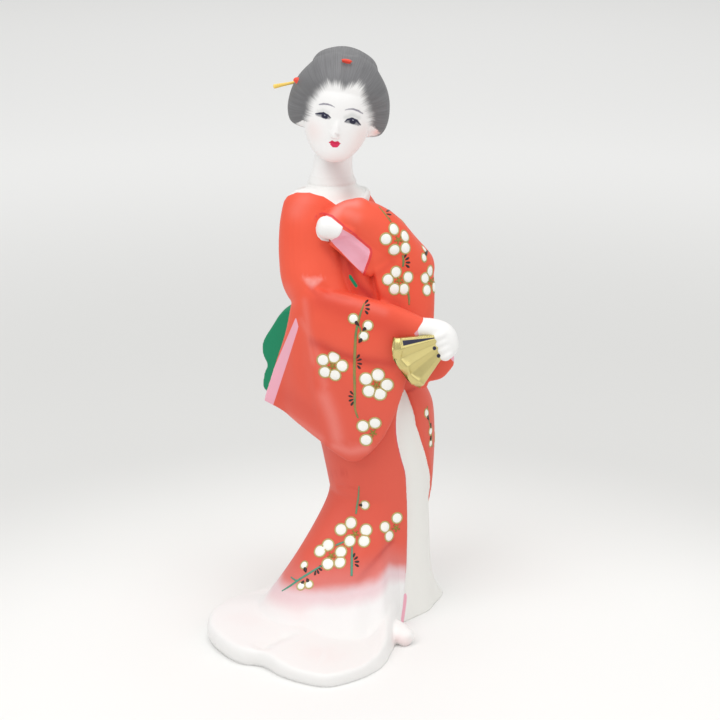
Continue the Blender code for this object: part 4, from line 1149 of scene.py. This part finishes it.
def brushed_on(name, thin, thick, grain, roughness, relief, metallic=0.0):
    """Paint from a fine brush: `thin` shows through `thick` in clouds of `grain` millimetres."""
    material, tree = new_material(name)
    place = add(tree, "TexCoord", {}, out="Object")
    uneven = add(tree, "TexNoise", {"Vector": place, "Scale": 1000 / grain, "Detail": 3.0})
    colour = lay(tree, pigment(thin), pigment(thick), uneven)
    drag = add(tree, "Bump", {"Strength": relief, "Distance": 0.0001, "Height": uneven})
    coat(tree, colour, roughness, drag, Metallic=metallic)
    return material


# crushed shell in glue: an opaque warm white that dries with a soft sheen
shell_white = brushed_on("raised_shell_white", "#F6F5EE", "#FEFDFA", 1.2, 0.42, 0.3)
# gold powder in glue glints dully, grain by grain, and laid thin over brown it is darker
gold_paint = brushed_on("gold_powder_line", "#A8975A", "#D2C284", 0.8, 0.45, 0.4, 0.4)
old_gold = brushed_on("dark_gold_stamens", "#6A561C", "#B8A248", 0.8, 0.45, 0.4, 0.3)
# soot ink, nearly black, and brown where it is thin
ink = brushed_on("black_brown_ink", "#1E1416", "#3A2220", 0.7, 0.4, 0.2)

# green pigment with gold powder stirred in: olive, gold in places, and bluer low on the skirt
branch_paint, tree = new_material("green_gold_branch")
place = add(tree, "TexCoord", {}, out="Object")
uneven = add(tree, "TexNoise", {"Vector": place, "Scale": 1000 / 5.0, "Detail": 3.0})
olive = add(tree, "MapRange", {0: uneven, 1: 0.35, 2: 0.65}, interpolation_type="SMOOTHSTEP")
low = add(tree, "MapRange", {0: add(tree, "SeparateXYZ", {0: place}, out="Z"), 1: 0.1, 2: 0.03})
colour = lay(tree, pigment("#6E8A55"), pigment("#9A8B4C"), olive)
colour = lay(tree, colour, pigment("#4E9A82"), low)
drag = add(tree, "Bump", {"Strength": 0.3, "Distance": 0.0001, "Height": uneven})
coat(tree, colour, 0.45, drag, Metallic=0.15)

for name, bm, material in (("petals", join(white for white, rim in petals), shell_white),
                           ("petal_rims", join(rim for white, rim in petals), gold_paint),
                           ("stamens", join(stamens), old_gold), ("branches", join(stems), branch_paint),
                           ("ink_strokes", join(dashes + calyxes), ink)):
    bmesh.ops.recalc_face_normals(bm, faces=bm.faces)
    relief = as_object(bm, name)
    relief.data.materials.append(material)
    relief.data.transform(TO_FRAME)
    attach(relief, "root")

# The folding fan, half open. The real one is part of the same clay work, made on its own and glued
# into the hand: broad folds with a thick rounded rim, covered with bright gold and lined in navy.
FAN_PIVOT = Vector((43.5, -35.5, 161.0))
FAN_TURN = math.radians(20)
FAN_REACH = 9.0               # how far from the pivot the leaf starts, inside the hand
FAN_RIM = (34.8, 36.2, 36.3, 35.6, 35.2, 35.4, 34.0)      # how far out each fold's edge ends
FAN_SWEEP = (179.5, 233.5)    # directions of the two guards, in degrees
FAN_THICK = (3.2, 4.6)        # at the hand and at the rim
FOLD_DEPTH = 1.1
across = Vector((math.cos(FAN_TURN), math.sin(FAN_TURN), 0))
front = Vector((math.sin(FAN_TURN), -math.cos(FAN_TURN), 0))
STEPS_A_FOLD = 8
columns = (len(FAN_RIM) - 1) * STEPS_A_FOLD
RIM_FROM = 0.88               # share of the way out where the leaf ends in a thick bevelled rim
rings = []
for share in [*np.linspace(0, 0.84, 15), *np.linspace(0.86, 1, 12)]:
    rounding = math.sqrt(max(0.0, 1 - max(0.0, (share - 0.96) / 0.04) ** 2))
    thick = (FAN_THICK[0] + (FAN_THICK[1] - FAN_THICK[0]) * share) * (0.3 + 0.7 * rounding)
    ring = []
    for side in (1, -1):
        line = []
        for step in range(columns + 1):
            fold = step / STEPS_A_FOLD
            k = min(int(fold), len(FAN_RIM) - 2)
            u = fold - k
            rim = FAN_RIM[k] * (1 - u) + FAN_RIM[k + 1] * u
            reach = FAN_REACH + (rim - FAN_REACH) * share
            angle = math.radians(FAN_SWEEP[0] + (FAN_SWEEP[1] - FAN_SWEEP[0]) * step / columns)
            pleat = FOLD_DEPTH * (2 * u - 1) * (1 if k % 2 == 0 else -1) * (0.15 + 0.85 * share)
            ridge = RIM_FROM - 0.02 * (2 * u - 1) * (1 if k % 2 == 0 else -1)
            bevel = float(at(((ridge - 0.03, 0), (ridge, 0.35), (1.0, -1.7)), share))
            edge = 1 - 0.35 * (max(0.0, 1 - step / 3) ** 2 + max(0.0, 1 - (columns - step) / 3) ** 2)
            spot = FAN_PIVOT + across * reach * math.cos(angle) + Vector((0, 0, reach * math.sin(angle)))
            line.append(spot + front * (side * thick / 2 * edge + (pleat + bevel if side > 0 else 0)))
        ring += line if side > 0 else line[::-1]
    rings.append(ring)
fan = as_object(loft(rings), "gilt_fan")

# the sleeve is hollowed where the leaf lies against it
from_pivot = spots - np.array(FAN_PIVOT)
leaf_x, leaf_z = from_pivot @ np.array(across), from_pivot[:, 2]
leaf_turn = np.degrees(np.arctan2(leaf_z, leaf_x)) % 360
behind = (leaf_turn > FAN_SWEEP[0] - 3) & (leaf_turn < FAN_SWEEP[1] + 3) & (np.hypot(leaf_x, leaf_z) < 38)
behind &= (np.minimum(away["cloth"], away["raised_sleeve"]) < away["skin"]) & (spots[:, 1] < -25)
depth = from_pivot @ np.array(front)
deeper = np.where(behind, np.minimum(depth, -FAN_THICK[1] / 2 - 0.4), depth) - depth
spots += deeper[:, None] * np.array(front)
figure.data.vertices.foreach_set("co", spots.astype(np.float32).ravel())
figure.data.transform(TO_FRAME)
figure.data.update()

# how far below the top guard, and how far out from the hand, each point of the leaf lies
from_pivot = vertex_array(fan.data) - np.array(FAN_PIVOT)
leaf_x = from_pivot @ np.array(across)
keep("leaf_x", leaf_x, fan)
keep("leaf_z", from_pivot[:, 2], fan)
keep("leaf_reach", np.hypot(leaf_x, from_pivot[:, 2]), fan)

# gold leaf rubbed down over smooth clay: bright metal whose reflections waver slightly
gilding, tree = new_material("burnished_gold_leaf")
place = add(tree, "TexCoord", {}, out="Object")
uneven = add(tree, "TexNoise", {"Vector": place, "Scale": 1000 / 6.0, "Detail": 2.0})
gold = lay(tree, pigment("#D0C180"), pigment("#DCCF90"), uneven)
leaf_x = add(tree, "Attribute", {}, out="Fac", attribute_name="leaf_x")
leaf_z = add(tree, "Attribute", {}, out="Fac", attribute_name="leaf_z")
reach = add(tree, "Attribute", {}, out="Fac", attribute_name="leaf_reach")
# the navy stripe below the top guard widens outwards
foot = add(tree, "MapRange", {0: reach, 1: 13.0, 2: 31.0, 3: 1.2, 4: 3.3})
above_foot = add(tree, "Math", {0: leaf_z, 1: foot}, operation="ADD")
upper = add(tree, "MapRange", {0: leaf_z, 1: -0.7, 2: -0.9})
lower = add(tree, "MapRange", {0: above_foot, 1: -0.1, 2: 0.1})
outer = add(tree, "MapRange", {0: reach, 1: 31.3, 2: 31.0})
stripe = add(tree, "Math", {0: upper, 1: lower}, operation="MULTIPLY")
stripe = add(tree, "Math", {0: stripe, 1: outer}, operation="MULTIPLY")
# and navy shows between the fingertips
flat_leaf = add(tree, "CombineXYZ", {0: leaf_x, 1: leaf_z})
for spot in ((-13.9, -6.4, 0), (-11.6, -10.6, 0)):
    off = add(tree, "VectorMath", {0: flat_leaf, 1: spot}, out="Value", operation="DISTANCE")
    dab = add(tree, "MapRange", {0: off, 1: 1.1, 2: 0.9})
    stripe = add(tree, "Math", {0: stripe, 1: dab}, operation="MAXIMUM")
gold = lay(tree, gold, pigment("#15153A"), stripe)
metal = add(tree, "Math", {0: 1.0, 1: stripe}, operation="SUBTRACT")
polish = add(tree, "MapRange", {0: uneven, 1: 0.3, 2: 0.7, 3: 0.26, 4: 0.36})
leaf_bump = add(tree, "Bump", {"Strength": 0.15, "Distance": 0.0002, "Height": uneven})
coat(tree, gold, polish, leaf_bump, Metallic=metal)
fan.data.materials.append(gilding)
fan.data.transform(TO_FRAME)
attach(fan, "root")
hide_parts("folding_fan")

# The hairpin. The real one is a sliver of wood or wire, widening to its end, which is enamelled yellow
# and stuck into a hole in the hair.
PIN_ENDS = (Vector((-34.0, 1.0, 283.2)), Vector((-49.2, -3.5, 280.6)))
PIN_RADIUS = 0.75
start, end = PIN_ENDS
bm = limb(((*start, PIN_RADIUS, PIN_RADIUS), (*start.lerp(end, 0.5), PIN_RADIUS, PIN_RADIUS),
           (*start.lerp(end, 0.8), PIN_RADIUS * 1.25, PIN_RADIUS), (*end, PIN_RADIUS * 1.5, PIN_RADIUS)),
          rows=24, points=24)
pin = as_object(bm, "yellow_pin")
# brushed enamel: glossier than the pigments, with the faint drag of the brush
pin.data.materials.append(brushed_on("yellow_enamel", "#F5C952", "#FBDD7C", 1.5, 0.35, 0.3))
pin.data.transform(TO_FRAME)
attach(pin, "root")
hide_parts("hairpin")

# The room. The doll stands on a sweep of plain matt paper under broad soft studio lights. Its colour
# holds a painted pool of light round her, a ring of painted shade beyond, and painted light far behind.
floor_bm = bmesh.new()
bmesh.ops.create_circle(floor_bm, cap_ends=True, segments=128, radius=9.0)
floor = as_object(floor_bm, "floor")
floor_paint, tree = new_material("pale_floor")
place = add(tree, "TexCoord", {}, out="Object")
reach = add(tree, "VectorMath", {0: place, 1: (0.02, -0.05, 0.0)}, out="Value", operation="DISTANCE")
# painted shade: darker in a ring from 0.16 to 0.36 m out
painted_shade_ring = add(tree, "MapRange", {0: reach, 1: 0.16, 2: 0.36}, interpolation_type="SMOOTHSTEP")
surface = lay(tree, pigment("#F0F0EF"), pigment("#DADAD9"), painted_shade_ring)
# painted light: brighter again from 0.5 to 1.6 m out
painted_far_light = add(tree, "MapRange", {0: reach, 1: 0.5, 2: 1.6}, interpolation_type="SMOOTHSTEP")
surface = lay(tree, surface, pigment("#F8F8F8"), painted_far_light)
coat(tree, surface, 0.9, add(tree, "Bump", {"Strength": 0.0}), **{"Specular IOR Level": 0.1})
floor.data.materials.append(floor_paint)

world = bpy.data.worlds.new("studio")
bpy.context.scene.world = world
world.use_nodes = True
world.node_tree.nodes["Background"].inputs["Color"].default_value = pigment("#F4F4F2")
world.node_tree.nodes["Background"].inputs["Strength"].default_value = 0.67


def studio_light(name, place, target, size, power):
    light = bpy.data.lights.new(name, "AREA")
    light.size = size
    light.energy = power
    lamp = bpy.data.objects.new(name, light)
    lamp.location = place
    lamp.rotation_euler = (Vector(target) - Vector(place)).to_track_quat("-Z", "Y").to_euler()
    bpy.context.collection.objects.link(lamp)


studio_light("key", (-0.8, -0.9, 1.5), (0, 0, 0.12), 1.3, 10.0)
studio_light("overhead", (0, -0.1, 2.2), (0, 0, 0), 1.4, 13.0)
studio_light("fill", (1.2, -0.9, 1.1), (0, 0, 0.12), 1.6, 6.0)
studio_light("background", (0, 3.2, 2.4), (0, 3.4, 0), 2.5, 14.0)
bpy.context.scene.view_settings.view_transform = "Standard"
bpy.context.scene.view_settings.look = "None"
